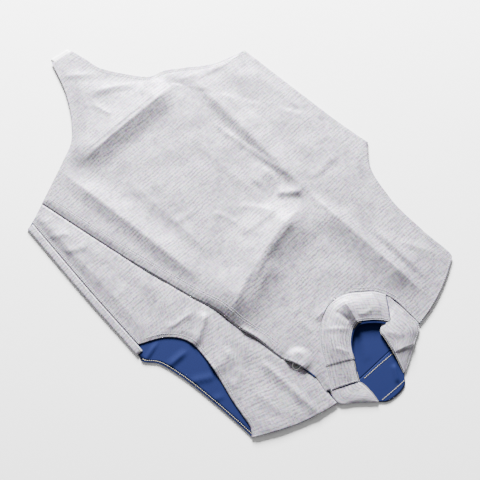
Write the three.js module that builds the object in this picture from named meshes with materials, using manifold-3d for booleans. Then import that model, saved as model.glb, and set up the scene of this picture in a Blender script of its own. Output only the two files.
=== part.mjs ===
// A sleeveless fencing jacket of metal-faced cloth, laid flat on its back with the front up.
// Plan sizes are in mm from the middle of the crotch point: x runs to the wearer's left, y to the head, z up.
// Each cloth piece is a sheet: a grid of points in the middle of the cloth, thickened along the normals.
import * as THREE from "three";
import { mergeVertices } from "three/addons/utils/BufferGeometryUtils.js";
import Module from "manifold-3d";

const wasm = await Module();
wasm.setup();

// Turns lines of numbers into rows with named columns
function table(columns, lines) {
  const names = columns.split(" ");
  return lines.map((line) => Object.fromEntries(names.map((name, i) => [name, line[i]])));
}

// Cloth thickness and the space between layers
const CLOTH = 1.2;
const LINING = 1.0;
const TAPE = 1.0;
const GAP = 0.3;

// Height of the middle of each flat layer above the floor
const BACK_Z = CLOTH / 2;
const LINING_Z = CLOTH + GAP + LINING / 2;
const FRONT_Z = CLOTH + GAP + LINING + GAP + CLOTH / 2;
const TAPE_RISE = CLOTH / 2 + GAP + TAPE / 2;
const FACING_RISE = TAPE_RISE + TAPE / 2 + GAP + LINING / 2;
const FLAP_RISE = FACING_RISE + LINING / 2 + GAP + CLOTH / 2;

// The plan point that stands over the part's origin
const CENTRE = { x: -2.0, y: 408.386 };

// Side folds: the cloth turns over at the edge of the body
const FOLD_RADIUS = (FRONT_Z - BACK_Z) / 2;
const SIDE_WRAP = 10;
const FOLD_STEPS = 4;

// How far the front stands off the lining away from its edges, and how far in from an edge that starts
const PILLOW = 2.2;
const PILLOW_REACH = 38;

// The flap: how far the layers under it reach in from its edge, and where it comes back down
const FLAP_LEVEL = 42;
const FLAP_RAMP = 82;
const FLAP_FOOT = { low: 140, high: 168 };
const TAPE_STRIP = {
  inner: 30, outer: 9, setback: 5, low: 200, high: 700, rise: TAPE_RISE, bump: 0, droop: 0,
};
const FACING_STRIP = {
  inner: 31, outer: 4, setback: 3, low: 198, high: 706, rise: FACING_RISE, bump: 0.8, droop: 1,
};
const STRIP_STEP = 13;
const LEAST_KNEE = 2;

// The flap's layers end further in, by their setback, below these heights up the garment
const SETBACK_LOW = 560;
const SETBACK_HIGH = 620;

// The crotch strap: how far it reaches, how it slants, and how far the crotch point sinks over its end
const STRAP = { right: -21, left: 13, lean: 0.02, slant: -0.14, low: -9, rise: 22 };
const STRAP_ROWS = [-9, -2, 6, 14, 24, 40, 62];
const STRAP_END_DROP = 0.5;
const STRAP_END_REACH = 16;

// The zip's slider and its wire ring, at the top of the tape
const SLIDER = { y: 682, inset: 2.2, length: 13, width: 9, height: 2.2, nose: 4.2, lap: 0.6 };
const BUMP = { rise: 3.2, foot: 30, top: 12.6 };
const RING = { wire: 1.3, width: 14, reach: 11.5, corner: 2.2, cut: 0.66, segments: 10, sides: 8 };
const LUG = { length: 3.4, wall: 0.6, play: 0.3, chamfer: 0.8 };

const MATERIALS = {
  silver: { color: 0xc9c8cc, roughness: 0.55, metalness: 0.35 },
  blue: { color: 0x2f5190, roughness: 0.85, metalness: 0 },
  tape: { color: 0xd8d8da, roughness: 0.8, metalness: 0 },
  elastic: { color: 0xf2f2f2, roughness: 0.8, metalness: 0 },
  slider: { color: 0xbfc0c4, roughness: 0.4, metalness: 0.8 },
  ring: { color: 0xf0f0f0, roughness: 0.4, metalness: 0.3 },
};

// How far the flap's edge hangs down onto the left front, from the hem to the neck, and over what width
const FLAP_EDGE_REACH = 14;
const FLAP_DROOP = table("x y", [
  [170, 2.3],
  [370, 2.3],
  [404, 1.2],
  [450, 0.8],
  [480, 1.9],
  [498, -1],
  [524, -1.6],
  [548, 0],
  [590, 0.4],
  [620, 0.2],
  [640, 0],
  [760, 0],
]);

// Sections across the garment: rx, ry is the end at the wearer's right, lx, ly the end at the left.
// The front from the crotch point up to the hem corners
const FRONT_LEGS = table("rx ry lx ly", [
  [-24, 3, 17, -3],
  [-31, 34, 28, 32],
  [-37, 62, 39, 60],
  [-59, 98, 62, 100],
  [-87, 133, 92, 135],
  [-115, 143, 127, 154],
  [-145, 163, 155, 167],
  [-187, 192, 184, 180],
  [-241.5, 209, 204, 189],
]);

// The front from the hem corners to the right underarm; the left end is the flap's edge
const FRONT_BODY = table("rx ry lx ly", [
  [-241.5, 209, 204, 189],
  [-246, 265, 190, 258],
  [-254, 356, 169, 356],
  [-260, 420, 152, 424],
  [-269, 482.5, 137, 482],
]);

// The front from the underarm to the lowest point of the neckline
const FRONT_CHEST = table("rx ry lx ly", [
  [-269, 482.5, 137, 482],
  [-238, 521.5, 123, 526],
  [-224, 575, 118, 572],
  [-220, 609, 109, 610],
  [-220, 645, 106, 645],
]);

// The front's right shoulder: from the armhole to the neck seam
const FRONT_SHOULDER = table("rx ry lx ly", [
  [-220, 645, -29, 645],
  [-220, 664, -49, 651],
  [-221, 680, -67, 664],
  [-222, 694, -86, 682],
  [-223, 706, -97, 710],
  [-223, 716, -98, 740],
  [-221, 724, -97.5, 768.5],
]);

// The front's narrow left end: from the neck seam to the flap's edge
const FRONT_NECK_END = table("rx ry lx ly", [
  [-29, 645, 106, 645],
  [-8, 646, 103, 659],
  [21, 661, 98, 672],
  [43, 683, 92, 688],
  [61, 712, 86, 714],
  [84, 749, 91, 745],
]);

// The wearer's left front: from its hidden edge under the flap to the side seam or armhole
const LEFT_BODY = table("rx ry lx ly", [
  [166, 172, 238.3, 205],
  [152, 262, 242.2, 265],
  [131, 356, 248.2, 356],
  [114, 424, 251.5, 424],
  [99, 482, 253.9, 482],
]);
const LEFT_CHEST = table("rx ry lx ly", [
  [99, 482, 253.9, 482],
  [92, 505, 214, 503],
  [85, 526, 192, 533],
  [80, 572, 191, 571.5],
  [72, 612, 199, 615],
  [68, 650, 208, 652],
  [64, 680, 213, 680],
  [68, 708, 217, 702],
  [88.5, 744, 222, 711],
  [92.5, 771, 227.5, 718],
]);

// The back: its left end is folded over onto the front between the hem and the underarm
const BACK_LEGS = table("rx ry lx ly", [
  [-19, 18, 12, 15],
  [-33, 62, 34, 60],
  [-66, 112, 60, 107],
  [-85, 136, 92, 142],
  [-114, 147, 122, 155],
  [-142, 166, 152, 169],
  [-184, 195, 186, 183],
  [-230.9, 209, 249, 207],
]);
const BACK_BODY = table("rx ry lx ly", [
  [-230.9, 209, 249, 207],
  [-235.4, 265, 253, 265],
  [-243.4, 356, 259, 356],
  [-249.4, 420, 262, 420],
  [-258.4, 482.5, 265, 495],
]);
const BACK_CHEST = table("rx ry lx ly", [
  [-258.4, 482.5, 265, 495],
  [-250, 498, 266, 509],
  [-235, 522, 250, 529],
  [-222, 575, 240, 566],
  [-218, 609, 234, 606],
  [-218, 664, 230, 648],
  [-221, 706, 227, 690],
  [-219, 722, 226, 717],
]);

// Outline of the shoulders and neck seam, from right to left
const BACK_TOP = table("x y", [
  [-219, 722],
  [-150, 755.5],
  [-125, 764.5],
  [-97, 768],
  [92, 768],
  [130, 750],
  [165, 747],
  [226, 717],
]);
const BACK_TOP_REACH = 120;
const SHOULDER_BULGE = 8;
const SHOULDER_REACH = 60;

// How far the linings end inside the edges that they are sewn to: in mm, and as a share of the collar's width
const LINING_INSET = 2.5;
const COLLAR_LINING_INSET = 0.02;

// Collar sections from the seam (rx, ry) to the rim (lx, ly), with the height of each and the arch between
const COLLAR_FRONT = table("rx ry lx ly seam rim arch", [
  [-93, 705, -71, 727, 5.6, 5, 1],
  [-84.4, 683, -56, 719, 5.6, 7, 3],
  [-66, 665.6, -42, 708, 5.6, 9, 4],
  [-48.6, 652.6, -30, 700, 5.6, 9, 4.5],
  [-29, 646.2, -20, 699, 5.6, 8.5, 4.5],
  [-8.2, 647.2, -8, 703, 5.6, 8.5, 5],
  [20.2, 662, 8, 716, 5.7, 8.5, 5],
  [42, 683.8, 19, 731, 7.4, 9, 4.5],
  [60, 712.6, 30, 746, 7.5, 9.5, 2.5],
  [83.2, 749.8, 43, 768, 7.5, 9.5, 1.5],
]);
const COLLAR_RIGHT = table("rx ry lx ly seam rim arch", [
  [-95.2, 711, -70, 731, 8.2, 8.2, 1.5],
  [-95.8, 726, -44, 734, 6.2, 8.6, 3.5],
  [-95.8, 745, -39.5, 748, 5.2, 8, 4.5],
  [-94.8, 769.5, -36, 765, 3.5, 7.4, 5],
  [-72, 783, -31, 782, 3.5, 6.5, 3],
  [-45, 797, -26, 796, 3.5, 5, 1.5],
  [-27, 806, -22, 807, 3.5, 3.8, 0],
]);
const COLLAR_FRONT_LINING = table("rx ry lx ly seam rim arch", [
  [-66, 706, -51, 725, 5, 4, 0.8],
  [-50, 698, -38, 716, 6, 4.2, 1],
  [-36, 690, -28, 708, 6.5, 4.4, 1],
  [-22, 689, -18.5, 705.5, 6.5, 4.6, 0.8],
  [-10, 692, -5.5, 707, 6.5, 4.8, 0.6],
  [3, 705, 10, 718, 6.5, 5, 0.5],
  [13, 722, 21, 733, 6.8, 5.5, 0.4],
  [23, 741, 32, 748, 7, 6, 0.3],
]);
const COLLAR_LEFT = table("rx ry lx ly seam rim arch", [
  [84.5, 741, 36, 762, 3.4, 4, 0.5],
  [91.2, 771.5, 40, 779, 3.4, 4.5, 1.5],
  [70, 790, 42, 797, 3.4, 4.5, 1.5],
  [46.5, 811, 44.5, 812, 3.4, 3.6, 0],
]);
const COLLAR_BACK = table("rx ry lx ly seam rim arch", [
  [-93, 768.4, -92, 771.5, 0.6, 0.6, 0],
  [-66, 768.4, -66, 785, 0.6, 0.6, 0],
  [-30, 768.4, -26, 805, 0.6, 0.6, 0],
  [-6, 768.4, -4, 825, 0.6, 0.6, 0],
  [28, 768.4, 28.5, 825, 0.6, 0.6, 0],
  [45, 768.4, 46, 811, 0.6, 0.6, 0],
  [70, 768.4, 70, 790, 0.6, 0.6, 0],
  [90, 768.4, 90, 772.5, 0.6, 0.6, 0],
]);

// Folds from x0, y0 to x1, y1: the crest's bow sideways, its rise, and its reach to its left and right.
// Left is the wearer's right of a fold that runs up the garment, and the head side of one that runs across.
const FOLD_COLUMNS = "name x0 y0 x1 y1 bow rise left right";
const FRONT_FOLDS = table(FOLD_COLUMNS, [
  ["long crease", -137, 186, -130, 510, 0, 4.6, 44, 20],
  ["chest crease", -131, 470, -142, 790, 0, 8.5, 18, 46],
  ["shoulder crease", -164, 590, -161, 800, 0, 3.2, 22, 22],
  ["left crease", 146, 150, 104, 500, 2, 4.6, 44, 24],
  ["hem crease", -116, 177, 126, 178, 0, 9.5, 36, 66],
  ["chest fold", -118, 490, 134, 560, -13, 13.5, 62, 84],
  ["point crease", -102, 166, 14, 88, -9, 3.2, 15, 26],
  ["point end crease", -34, 74, 28, 26, 0, 3, 12, 20],
]);

// Folds of the left front, which the flap's layers follow
const LEFT_FOLDS = table(FOLD_COLUMNS, [
  ["shoulder crease", 125, 770, 131, 630, 0, 2.4, 14, 12],
  ["armhole fold", 136, 516, 194, 548, 3, 3.6, 11, 18],
  ["armhole fold two", 150, 590, 206, 590, 8, 3, 26, 30],
  ["side seam ridge", 222, 190, 230, 500, 0, 1.6, 40, 16],
]);

// How a fold falls away beside its crest, and the share of its length over which it fades at each end
const FOLD_FALL = 1.6;
const FOLD_END_SHARE = 0.16;

const clamp = (value, low, high) => Math.min(Math.max(value, low), high);
const mix = (a, b, t) => a + (b - a) * t;

// Rises smoothly from 0 to 1 between two values
function smooth(low, high, value) {
  const t = clamp((value - low) / (high - low), 0, 1);
  return t * t * (3 - 2 * t);
}

// Height that one fold adds at a plan point: a crest along a bowed line that falls away on each side
function foldHeight(fold, x, y) {
  const dx = fold.x1 - fold.x0;
  const dy = fold.y1 - fold.y0;
  const length = Math.hypot(dx, dy);
  const along = ((x - fold.x0) * dx + (y - fold.y0) * dy) / length / length;
  const across = ((y - fold.y0) * dx - (x - fold.x0) * dy) / length;
  const t = clamp(along, 0, 1);
  const side = across - 4 * fold.bow * t * (1 - t);
  const fall = 1 - Math.min(Math.abs(side) / (side > 0 ? fold.left : fold.right), 1);
  const ends = smooth(0, FOLD_END_SHARE, along) * smooth(0, FOLD_END_SHARE, 1 - along);
  return fold.rise * fall * fall * (FOLD_FALL - (FOLD_FALL - 1) * fall) * ends;
}

const foldsAt = (folds, x, y) => folds.reduce((sum, fold) => sum + foldHeight(fold, x, y), 0);

// Bump of the flap over the slider: level on top, falling to nothing at its foot
function sliderBump(x, y) {
  const away = Math.hypot(x - sliderPlace.x, y - sliderPlace.y);
  return BUMP.rise * smooth(BUMP.foot, BUMP.top, away);
}

// How far the flap has sunk at a distance from its edge
function flapDroop(y, fromFlap) {
  return lineThrough(FLAP_DROOP, y) * clamp(1 - fromFlap / FLAP_EDGE_REACH, 0, 1);
}

// Smooth curve through the rows of a table, all columns at once
function rowAt(rows, place) {
  const last = rows.length - 1;
  const i = clamp(Math.floor(place), 0, last - 1);
  const t = place - i;
  const [before, from, to, after] = [i - 1, i, i + 1, i + 2].map((k) => rows[clamp(k, 0, last)]);
  const row = {};
  for (const name of Object.keys(from)) {
    const slopeFrom = (to[name] - before[name]) / (i > 0 ? 2 : 1);
    const slopeTo = (after[name] - from[name]) / (i + 1 < last ? 2 : 1);
    const t2 = t * t;
    const t3 = t2 * t;
    row[name] = (2 * t3 - 3 * t2 + 1) * from[name] + (t3 - 2 * t2 + t) * slopeFrom
      + (3 * t2 - 2 * t3) * to[name] + (t3 - t2) * slopeTo;
  }
  return row;
}

// Rows of a table with extra ones between, so that no step along either end is longer than the given one
function refined(rows, step) {
  const out = [rows[0]];
  for (let i = 1; i < rows.length; i += 1) {
    const [a, b] = [rows[i - 1], rows[i]];
    const longest = Math.max(Math.hypot(b.rx - a.rx, b.ry - a.ry), Math.hypot(b.lx - a.lx, b.ly - a.ly));
    const count = Math.max(1, Math.round(longest / step));
    for (let k = 1; k <= count; k += 1) out.push(rowAt(rows, i - 1 + k / count));
  }
  return out;
}

// A sheet under construction: its points, and faces of four point numbers, joined where points coincide
class Sheet {
  constructor() {
    this.points = [];
    this.faces = [];
    this.numbers = new Map();
  }

  point(x, y, z) {
    const key = [x, y, z].map((value) => Math.round(value * 100)).join();
    if (!this.numbers.has(key)) {
      this.numbers.set(key, this.points.length);
      this.points.push(new THREE.Vector3(x, y, z));
    }
    return this.numbers.get(key);
  }

  // Adds a grid of rows; each row is a list of points from the wearer's right to the left
  addRows(rows) {
    const grid = rows.map((row) => row.map((p) => this.point(p.x, p.y, p.z)));
    for (let j = 1; j < grid.length; j += 1) {
      for (let i = 1; i < grid[j].length; i += 1) {
        this.faces.push([grid[j - 1][i - 1], grid[j - 1][i], grid[j][i], grid[j][i - 1]]);
      }
    }
  }
}

// Closed solid of a sheet: both sides of each face, and a wall along every free edge
function solidOf(sheet, thickness) {
  const normals = sheet.points.map(() => new THREE.Vector3());
  for (const face of sheet.faces) {
    const [a, b, c, d] = face.map((i) => sheet.points[i]);
    const normal = c.clone().sub(a).cross(d.clone().sub(b));
    face.forEach((i) => normals[i].add(normal));
  }
  const corners = [];
  for (const side of [1, -1]) {
    sheet.points.forEach((p, i) => {
      corners.push(...p.clone().addScaledVector(normals[i].clone().normalize(), side * thickness / 2));
    });
  }
  const under = sheet.points.length;
  const edges = new Set(sheet.faces.flatMap((face) => face.map((i, k) => `${i} ${face[(k + 1) % 4]}`)));
  const index = [];
  for (const face of sheet.faces) {
    const [a, b, c, d] = face;
    for (const [p, q, r] of [[a, b, c], [a, c, d]]) {
      if (new Set([p, q, r]).size === 3) index.push(p, q, r, r + under, q + under, p + under);
    }
    face.forEach((i, k) => {
      const j = face[(k + 1) % 4];
      if (i !== j && !edges.has(`${j} ${i}`)) index.push(i, i + under, j, j, i + under, j + under);
    });
  }
  const geometry = new THREE.BufferGeometry();
  geometry.setAttribute("position", new THREE.Float32BufferAttribute(corners, 3));
  geometry.setIndex(index);
  return geometry;
}

// One row of a panel: points at the given shares of the width, with their heights
function rowPoints(row, shares, height) {
  const width = Math.hypot(row.lx - row.rx, row.ly - row.ry);
  return shares.map((share) => {
    const x = mix(row.rx, row.lx, share);
    const y = mix(row.ry, row.ly, share);
    return { x, y, z: height(x, y, share * width, (1 - share) * width, row, share) };
  });
}

// Shares of the width that follow guide lines, with a set number of columns between two guides
function guidedShares(guides, counts) {
  const shares = [0];
  counts.forEach((count, g) => {
    for (let k = 1; k <= count; k += 1) shares.push(mix(guides[g], guides[g + 1], k / count));
  });
  return shares;
}

const evenShares = (count) => Array.from({ length: count + 1 }, (_, i) => i / count);

// Share of a row's width at which it crosses a line that runs up the garment
function crossing(row, line) {
  const middle = (row.ry + row.ly) / 2;
  const t = clamp((middle - line.y0) / (line.y1 - line.y0), 0, 1);
  const x = mix(line.x0, line.x1, t) + 4 * line.bow * t * (1 - t);
  return clamp((x - row.rx) / (row.lx - row.rx), line.low, line.high);
}

// Guide lines up the front, with the shares of its width they keep between, and columns from guide to guide:
// right end, long crease, middle, foot and top of the step over the flap's layers, start of its droop, edge
const RIGHT_CREASE = { x0: -137, y0: 186, x1: -142, y1: 785, bow: 8, low: 0.22, high: 0.4 };
const MIDDLE = { x0: 4, y0: 200, x1: -29, y1: 645, bow: 0, low: 0.4, high: 0.6 };
const LEAST_SHARES = { foot: 0.68, top: 0.84, droop: 0.93 };
const COLUMNS = [5, 6, 5, 2, 2, 1];

function frontShares(row) {
  const width = row.lx - row.rx;
  const inFrom = (distance, least) => Math.max(1 - distance / width, least);
  return guidedShares([
    0,
    crossing(row, RIGHT_CREASE),
    crossing(row, MIDDLE),
    inFrom(FLAP_RAMP, LEAST_SHARES.foot),
    inFrom(FLAP_LEVEL, LEAST_SHARES.top),
    inFrom(FLAP_EDGE_REACH, LEAST_SHARES.droop),
    1,
  ], COLUMNS);
}

const FLAP_EDGE = [...FRONT_BODY, ...FRONT_CHEST.slice(1), ...FRONT_NECK_END.slice(1)];

// Point of the flap's edge at a height up the garment, moved in by a distance
function flapPoint(y, inset) {
  const i = clamp(FLAP_EDGE.findIndex((row) => row.ly > y), 1, FLAP_EDGE.length - 1);
  const [a, b] = [FLAP_EDGE[i - 1], FLAP_EDGE[i]];
  const t = clamp((y - a.ly) / (b.ly - a.ly), 0, 1);
  const along = new THREE.Vector2(b.lx - a.lx, b.ly - a.ly).normalize();
  return { x: mix(a.lx, b.lx, t) - along.y * inset, y: y + along.x * inset };
}

const sliderPlace = flapPoint(SLIDER.y, SLIDER.inset + SLIDER.width / 2);

// Height of the middle of the left front, which the layers over it follow
const leftHeight = (x, y) => FRONT_Z + foldsAt(LEFT_FOLDS, x, y);

// Height of the middle of the front: its folds, its rise off the lining, and the step up over the flap
function frontHeight(x, y, fromRight, fromFlap, fromTop = PILLOW_REACH) {
  const foot = smooth(FLAP_FOOT.low, FLAP_FOOT.high, y);
  const atLeftHem = mix(smooth(0, PILLOW_REACH, fromFlap), 1, foot);
  const inside = [fromRight, y, fromTop].map((distance) => smooth(0, PILLOW_REACH, distance));
  const edge = inside.reduce((product, one) => product * one, atLeftHem);
  const flap = smooth(FLAP_RAMP, FLAP_LEVEL, fromFlap) * foot;
  const point = STRAP_END_DROP * (1 - smooth(0, STRAP_END_REACH, y));
  const raised = PILLOW * (1 - flap) + foldsAt(FRONT_FOLDS, x, y);
  const layers = flap * (FLAP_RISE + sliderBump(x, y)) - foot * flapDroop(y, fromFlap);
  return leftHeight(x, y) - point + edge * raised + layers;
}

// Adds the turn of the cloth round a side fold and the strip beyond it, on the given side
function addWrap(sheet, rows, side, startZ) {
  const endZ = FRONT_Z + BACK_Z - startZ;
  const turn = rows.map((row) => {
    const x = side < 0 ? row.rx : row.lx;
    const y = side < 0 ? row.ry : row.ly;
    const out = [];
    for (let k = 0; k <= FOLD_STEPS; k += 1) {
      const angle = Math.PI * k / FOLD_STEPS;
      const z = mix(startZ, endZ, (1 - Math.cos(angle)) / 2);
      out.push({ x: x + side * FOLD_RADIUS * Math.sin(angle), y, z });
    }
    out.push({ x: x - side * SIDE_WRAP / 2, y, z: endZ });
    out.push({ x: x - side * SIDE_WRAP, y, z: endZ });
    return side < 0 ? out.reverse() : out;
  });
  sheet.addRows(turn);
}

// The front below the neckline in full rows, then its right shoulder and the narrow end beside the neck
function frontRight() {
  const sheet = new Sheet();
  const body = refined(FRONT_BODY, 22);
  const height = (x, y, fromRight, fromFlap) => frontHeight(x, y, fromRight, fromFlap);
  for (const rows of [refined(FRONT_LEGS, 18), body, refined(FRONT_CHEST, 15)]) {
    sheet.addRows(rows.map((row) => rowPoints(row, frontShares(row), height)));
  }
  const neckRow = FRONT_CHEST.at(-1);
  const shares = frontShares(neckRow);
  const atNeck = COLUMNS[0] + COLUMNS[1];
  const neck = shares[atNeck];
  const split = mix(neckRow.rx, neckRow.lx, neck);
  const shoulder = FRONT_SHOULDER.map((row, j) => (j ? row : { ...row, lx: split }));
  const rightShares = shares.slice(0, atNeck + 1).map((share) => share / neck);
  const top = shoulder.at(-1);
  sheet.addRows(refined(shoulder, 14).map((row) => {
    const fromTop = top.ry - row.ry;
    const shoulderHeight = (x, y, fromRight) => frontHeight(x, y, fromRight, FLAP_RAMP, fromTop);
    const points = rowPoints(row, rightShares, shoulderHeight);
    return points.map((p, i) => shoulderArc(p, rightShares[i], fromTop));
  }));
  const neckEnd = FRONT_NECK_END.map((row, j) => (j ? row : { ...row, rx: split }));
  const leftShares = shares.slice(atNeck).map((share) => (share - neck) / (1 - neck));
  const endHeight = (x, y, fromRight, fromFlap) => frontHeight(x, y, PILLOW_REACH, fromFlap);
  sheet.addRows(refined(neckEnd, 9).map((row) => rowPoints(row, leftShares, endHeight)));
  addWrap(sheet, body, -1, FRONT_Z);
  return sheet;
}

// Bows the last rows outwards, so that the shoulder line is an arc
function shoulderArc(point, share, fromTop) {
  const bulge = SHOULDER_BULGE * smooth(SHOULDER_REACH, 0, fromTop);
  return { ...point, y: point.y + bulge * 4 * share * (1 - share) };
}

function frontLeft() {
  const sheet = new Sheet();
  const shares = evenShares(9);
  sheet.addRows(refined(LEFT_BODY, 26).map((row) => rowPoints(row, shares, leftHeight)));
  const top = LEFT_CHEST.at(-1);
  sheet.addRows(refined(LEFT_CHEST, 20).map((row) => {
    return rowPoints(row, shares, leftHeight).map((p, i) => shoulderArc(p, shares[i], top.ly - row.ly));
  }));
  return sheet;
}

// The y of a line through a table's points at a given x
function lineThrough(points, x) {
  const i = clamp(points.findIndex((p) => p.x > x), 1, points.length - 1);
  const [a, b] = [points[i - 1], points[i]];
  return mix(a.y, b.y, clamp((x - a.x) / (b.x - a.x), 0, 1));
}

// Rows of the back, the last of them raised to the shoulders and neck seam; inset draws the edges in
function backRows(rows, shares, z, inset, isChest) {
  const top = rows.at(-1);
  return rows.map((row) => {
    const near = isChest ? smooth(BACK_TOP_REACH, 0, top.ry - row.ry) : 0;
    const drawn = { rx: row.rx + inset, ry: row.ry, lx: row.lx - inset, ly: row.ly };
    return rowPoints(drawn, shares, () => z).map((p) => {
      const chord = mix(top.ry, top.ly, (p.x - top.rx) / (top.lx - top.rx));
      return { ...p, y: p.y + near * (lineThrough(BACK_TOP, p.x) - chord - inset) };
    });
  });
}

const BACK_SHARES = [0, 0.1, 0.2, 0.28, 0.42, 0.56, 0.7, 0.78, 0.9, 1];

function backPanel() {
  const sheet = new Sheet();
  const body = refined(BACK_BODY, 45);
  sheet.addRows(backRows(refined(BACK_LEGS, 26), BACK_SHARES, BACK_Z, 0, false));
  sheet.addRows(backRows(body, BACK_SHARES, BACK_Z, 0, false));
  sheet.addRows(backRows(refined(BACK_CHEST, 26), BACK_SHARES, BACK_Z, 0, true));
  addWrap(sheet, body, 1, BACK_Z);
  return sheet;
}

function backLining() {
  const sheet = new Sheet();
  const legs = refined(BACK_LEGS.slice(3), 30);
  sheet.addRows(backRows(legs, BACK_SHARES, LINING_Z, LINING_INSET, false));
  sheet.addRows(backRows(refined(BACK_BODY, 60), BACK_SHARES, LINING_Z, LINING_INSET, false));
  sheet.addRows(backRows(refined(BACK_CHEST, 30), BACK_SHARES, LINING_Z, LINING_INSET, true));
  return sheet;
}

// Strip that runs up the garment under the flap, with a line of points where the flap's droop starts
function flapStrip(strip) {
  const sheet = new Sheet();
  const rows = [];
  const count = Math.round((strip.high - strip.low) / STRIP_STEP);
  for (let k = 0; k <= count; k += 1) {
    const y = mix(strip.low, strip.high, k / count);
    const outer = strip.outer + strip.setback * smooth(SETBACK_HIGH, SETBACK_LOW, y);
    const knee = Math.max(FLAP_EDGE_REACH, outer + LEAST_KNEE);
    rows.push([strip.inner, mix(strip.inner, knee, 0.5), knee, outer].map((inset) => {
      const p = flapPoint(y, inset);
      const bump = strip.bump * sliderBump(p.x, p.y);
      return { ...p, z: leftHeight(p.x, p.y) + strip.rise + bump - strip.droop * flapDroop(y, inset) };
    }));
  }
  sheet.addRows(rows);
  return sheet;
}

// Collar piece between its seam and its rim, arched between the two
function collarPiece(rows, step, columns, lift = 0, inset = 0) {
  const sheet = new Sheet();
  const shares = evenShares(columns).map((share) => share * (1 - inset));
  const height = (x, y, a, b, row, share) => {
    return mix(row.seam, row.rim, share) + row.arch * Math.sin(Math.PI * share) + lift;
  };
  sheet.addRows(refined(rows, step).map((row) => rowPoints(row, shares, height)));
  return sheet;
}

function crotchStrap() {
  const sheet = new Sheet();
  const middle = (STRAP.right + STRAP.left) / 2;
  sheet.addRows(STRAP_ROWS.map((y) => {
    const z = mix(TAPE / 2, LINING_Z, clamp((y - STRAP.low) / STRAP.rise, 0, 1));
    const across = [STRAP.right, middle, STRAP.left];
    return across.map((x) => ({ x: x + y * STRAP.lean, y: y + x * STRAP.slant, z }));
  }));
  return sheet;
}

// Solid of a closed mesh, for joining and cutting
function manifoldOf(geometry) {
  const bare = geometry.clone();
  bare.deleteAttribute("normal");
  bare.deleteAttribute("uv");
  const merged = mergeVertices(bare, 1e-4);
  const vertProperties = new Float32Array(merged.attributes.position.array);
  const triVerts = new Uint32Array(merged.index.array);
  return new wasm.Manifold(new wasm.Mesh({ numProp: 3, vertProperties, triVerts }));
}

function geometryOf(solid) {
  const mesh = solid.getMesh();
  const geometry = new THREE.BufferGeometry();
  geometry.setAttribute("position", new THREE.BufferAttribute(mesh.vertProperties, 3));
  geometry.setIndex(new THREE.BufferAttribute(mesh.triVerts, 1));
  return geometry;
}

// Slider and ring share a frame at the ring's pivot: x points out of the flap, y along the zip and z up
const lugSize = RING.wire + 2 * (LUG.play + LUG.wall);

function sliderBody() {
  const outline = new THREE.Shape();
  const [inner, outer] = [-lugSize / 2 - SLIDER.width, -lugSize / 2 + SLIDER.lap];
  const { nose } = SLIDER;
  const half = SLIDER.length / 2;
  outline.moveTo(inner + nose / 2, -half);
  outline.lineTo(outer - nose / 2, -half);
  outline.lineTo(outer, -half + nose);
  outline.lineTo(outer, half);
  outline.lineTo(inner, half);
  outline.lineTo(inner, -half + nose);
  outline.closePath();
  const body = new THREE.ExtrudeGeometry(outline, { depth: SLIDER.height, bevelEnabled: false });
  body.translate(0, 0, -lugSize / 2);
  const lug = new THREE.Shape();
  lug.moveTo(-lugSize / 2, -lugSize / 2);
  lug.lineTo(lugSize / 2, -lugSize / 2);
  lug.lineTo(lugSize / 2, lugSize / 2 - LUG.chamfer);
  lug.lineTo(lugSize / 2 - LUG.chamfer, lugSize / 2);
  lug.lineTo(-lugSize / 2, lugSize / 2);
  lug.closePath();
  const hole = new THREE.Path();
  hole.absarc(0, 0, RING.wire / 2 + LUG.play, 0, 2 * Math.PI, true);
  lug.holes.push(hole);
  const eye = new THREE.ExtrudeGeometry(lug, { depth: LUG.length, bevelEnabled: false, curveSegments: 8 });
  eye.translate(0, 0, -LUG.length / 2);
  eye.rotateX(Math.PI / 2);
  return geometryOf(manifoldOf(body).add(manifoldOf(eye)));
}

// Closed loop of wire: a straight bar through the lug and a round bow
function ringLoop(tilt) {
  const half = RING.width / 2 - RING.wire / 2;
  const reach = RING.reach - RING.wire;
  const { corner, cut } = RING;
  const points = [];
  points.push(new THREE.Vector3(0, -half + corner, 0), new THREE.Vector3(0, half - corner, 0));
  points.push(new THREE.Vector3(cut, half - cut, 0), new THREE.Vector3(corner, half, 0));
  for (let k = 1; k < RING.segments; k += 1) {
    const angle = Math.PI / 2 - Math.PI * k / RING.segments;
    points.push(new THREE.Vector3(corner + (reach - corner) * Math.cos(angle), half * Math.sin(angle), 0));
  }
  points.push(new THREE.Vector3(corner, -half, 0), new THREE.Vector3(cut, -half + cut, 0));
  const positions = [];
  const index = [];
  const count = points.length;
  points.forEach((p, i) => {
    const before = points[(i + count - 1) % count];
    const after = points[(i + 1) % count];
    const along = after.clone().sub(before).normalize();
    const out = new THREE.Vector3(-along.y, along.x, 0);
    for (let k = 0; k < RING.sides; k += 1) {
      const angle = 2 * Math.PI * (k + 0.5) / RING.sides;
      const side = p.clone().addScaledVector(out, Math.cos(angle) * RING.wire / 2);
      positions.push(side.x, side.y, Math.sin(angle) * RING.wire / 2);
      const [a, b] = [i * RING.sides + k, i * RING.sides + (k + 1) % RING.sides];
      const next = ((i + 1) % count) * RING.sides;
      const [c, d] = [next + (k + 1) % RING.sides, next + k];
      index.push(a, b, c, a, c, d);
    }
  });
  const geometry = new THREE.BufferGeometry();
  geometry.setAttribute("position", new THREE.Float32BufferAttribute(positions, 3));
  geometry.setIndex(index);
  geometry.rotateY(tilt);
  return geometry;
}

const garment = new THREE.Group();
garment.name = "fencing_lame";
garment.position.set(-CENTRE.x, -CENTRE.y, 0);

function addPiece(name, geometry, finish, parent = garment) {
  const mesh = new THREE.Mesh(geometry, new THREE.MeshStandardMaterial(MATERIALS[finish]));
  mesh.name = name;
  parent.add(mesh);
  return mesh;
}

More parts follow.
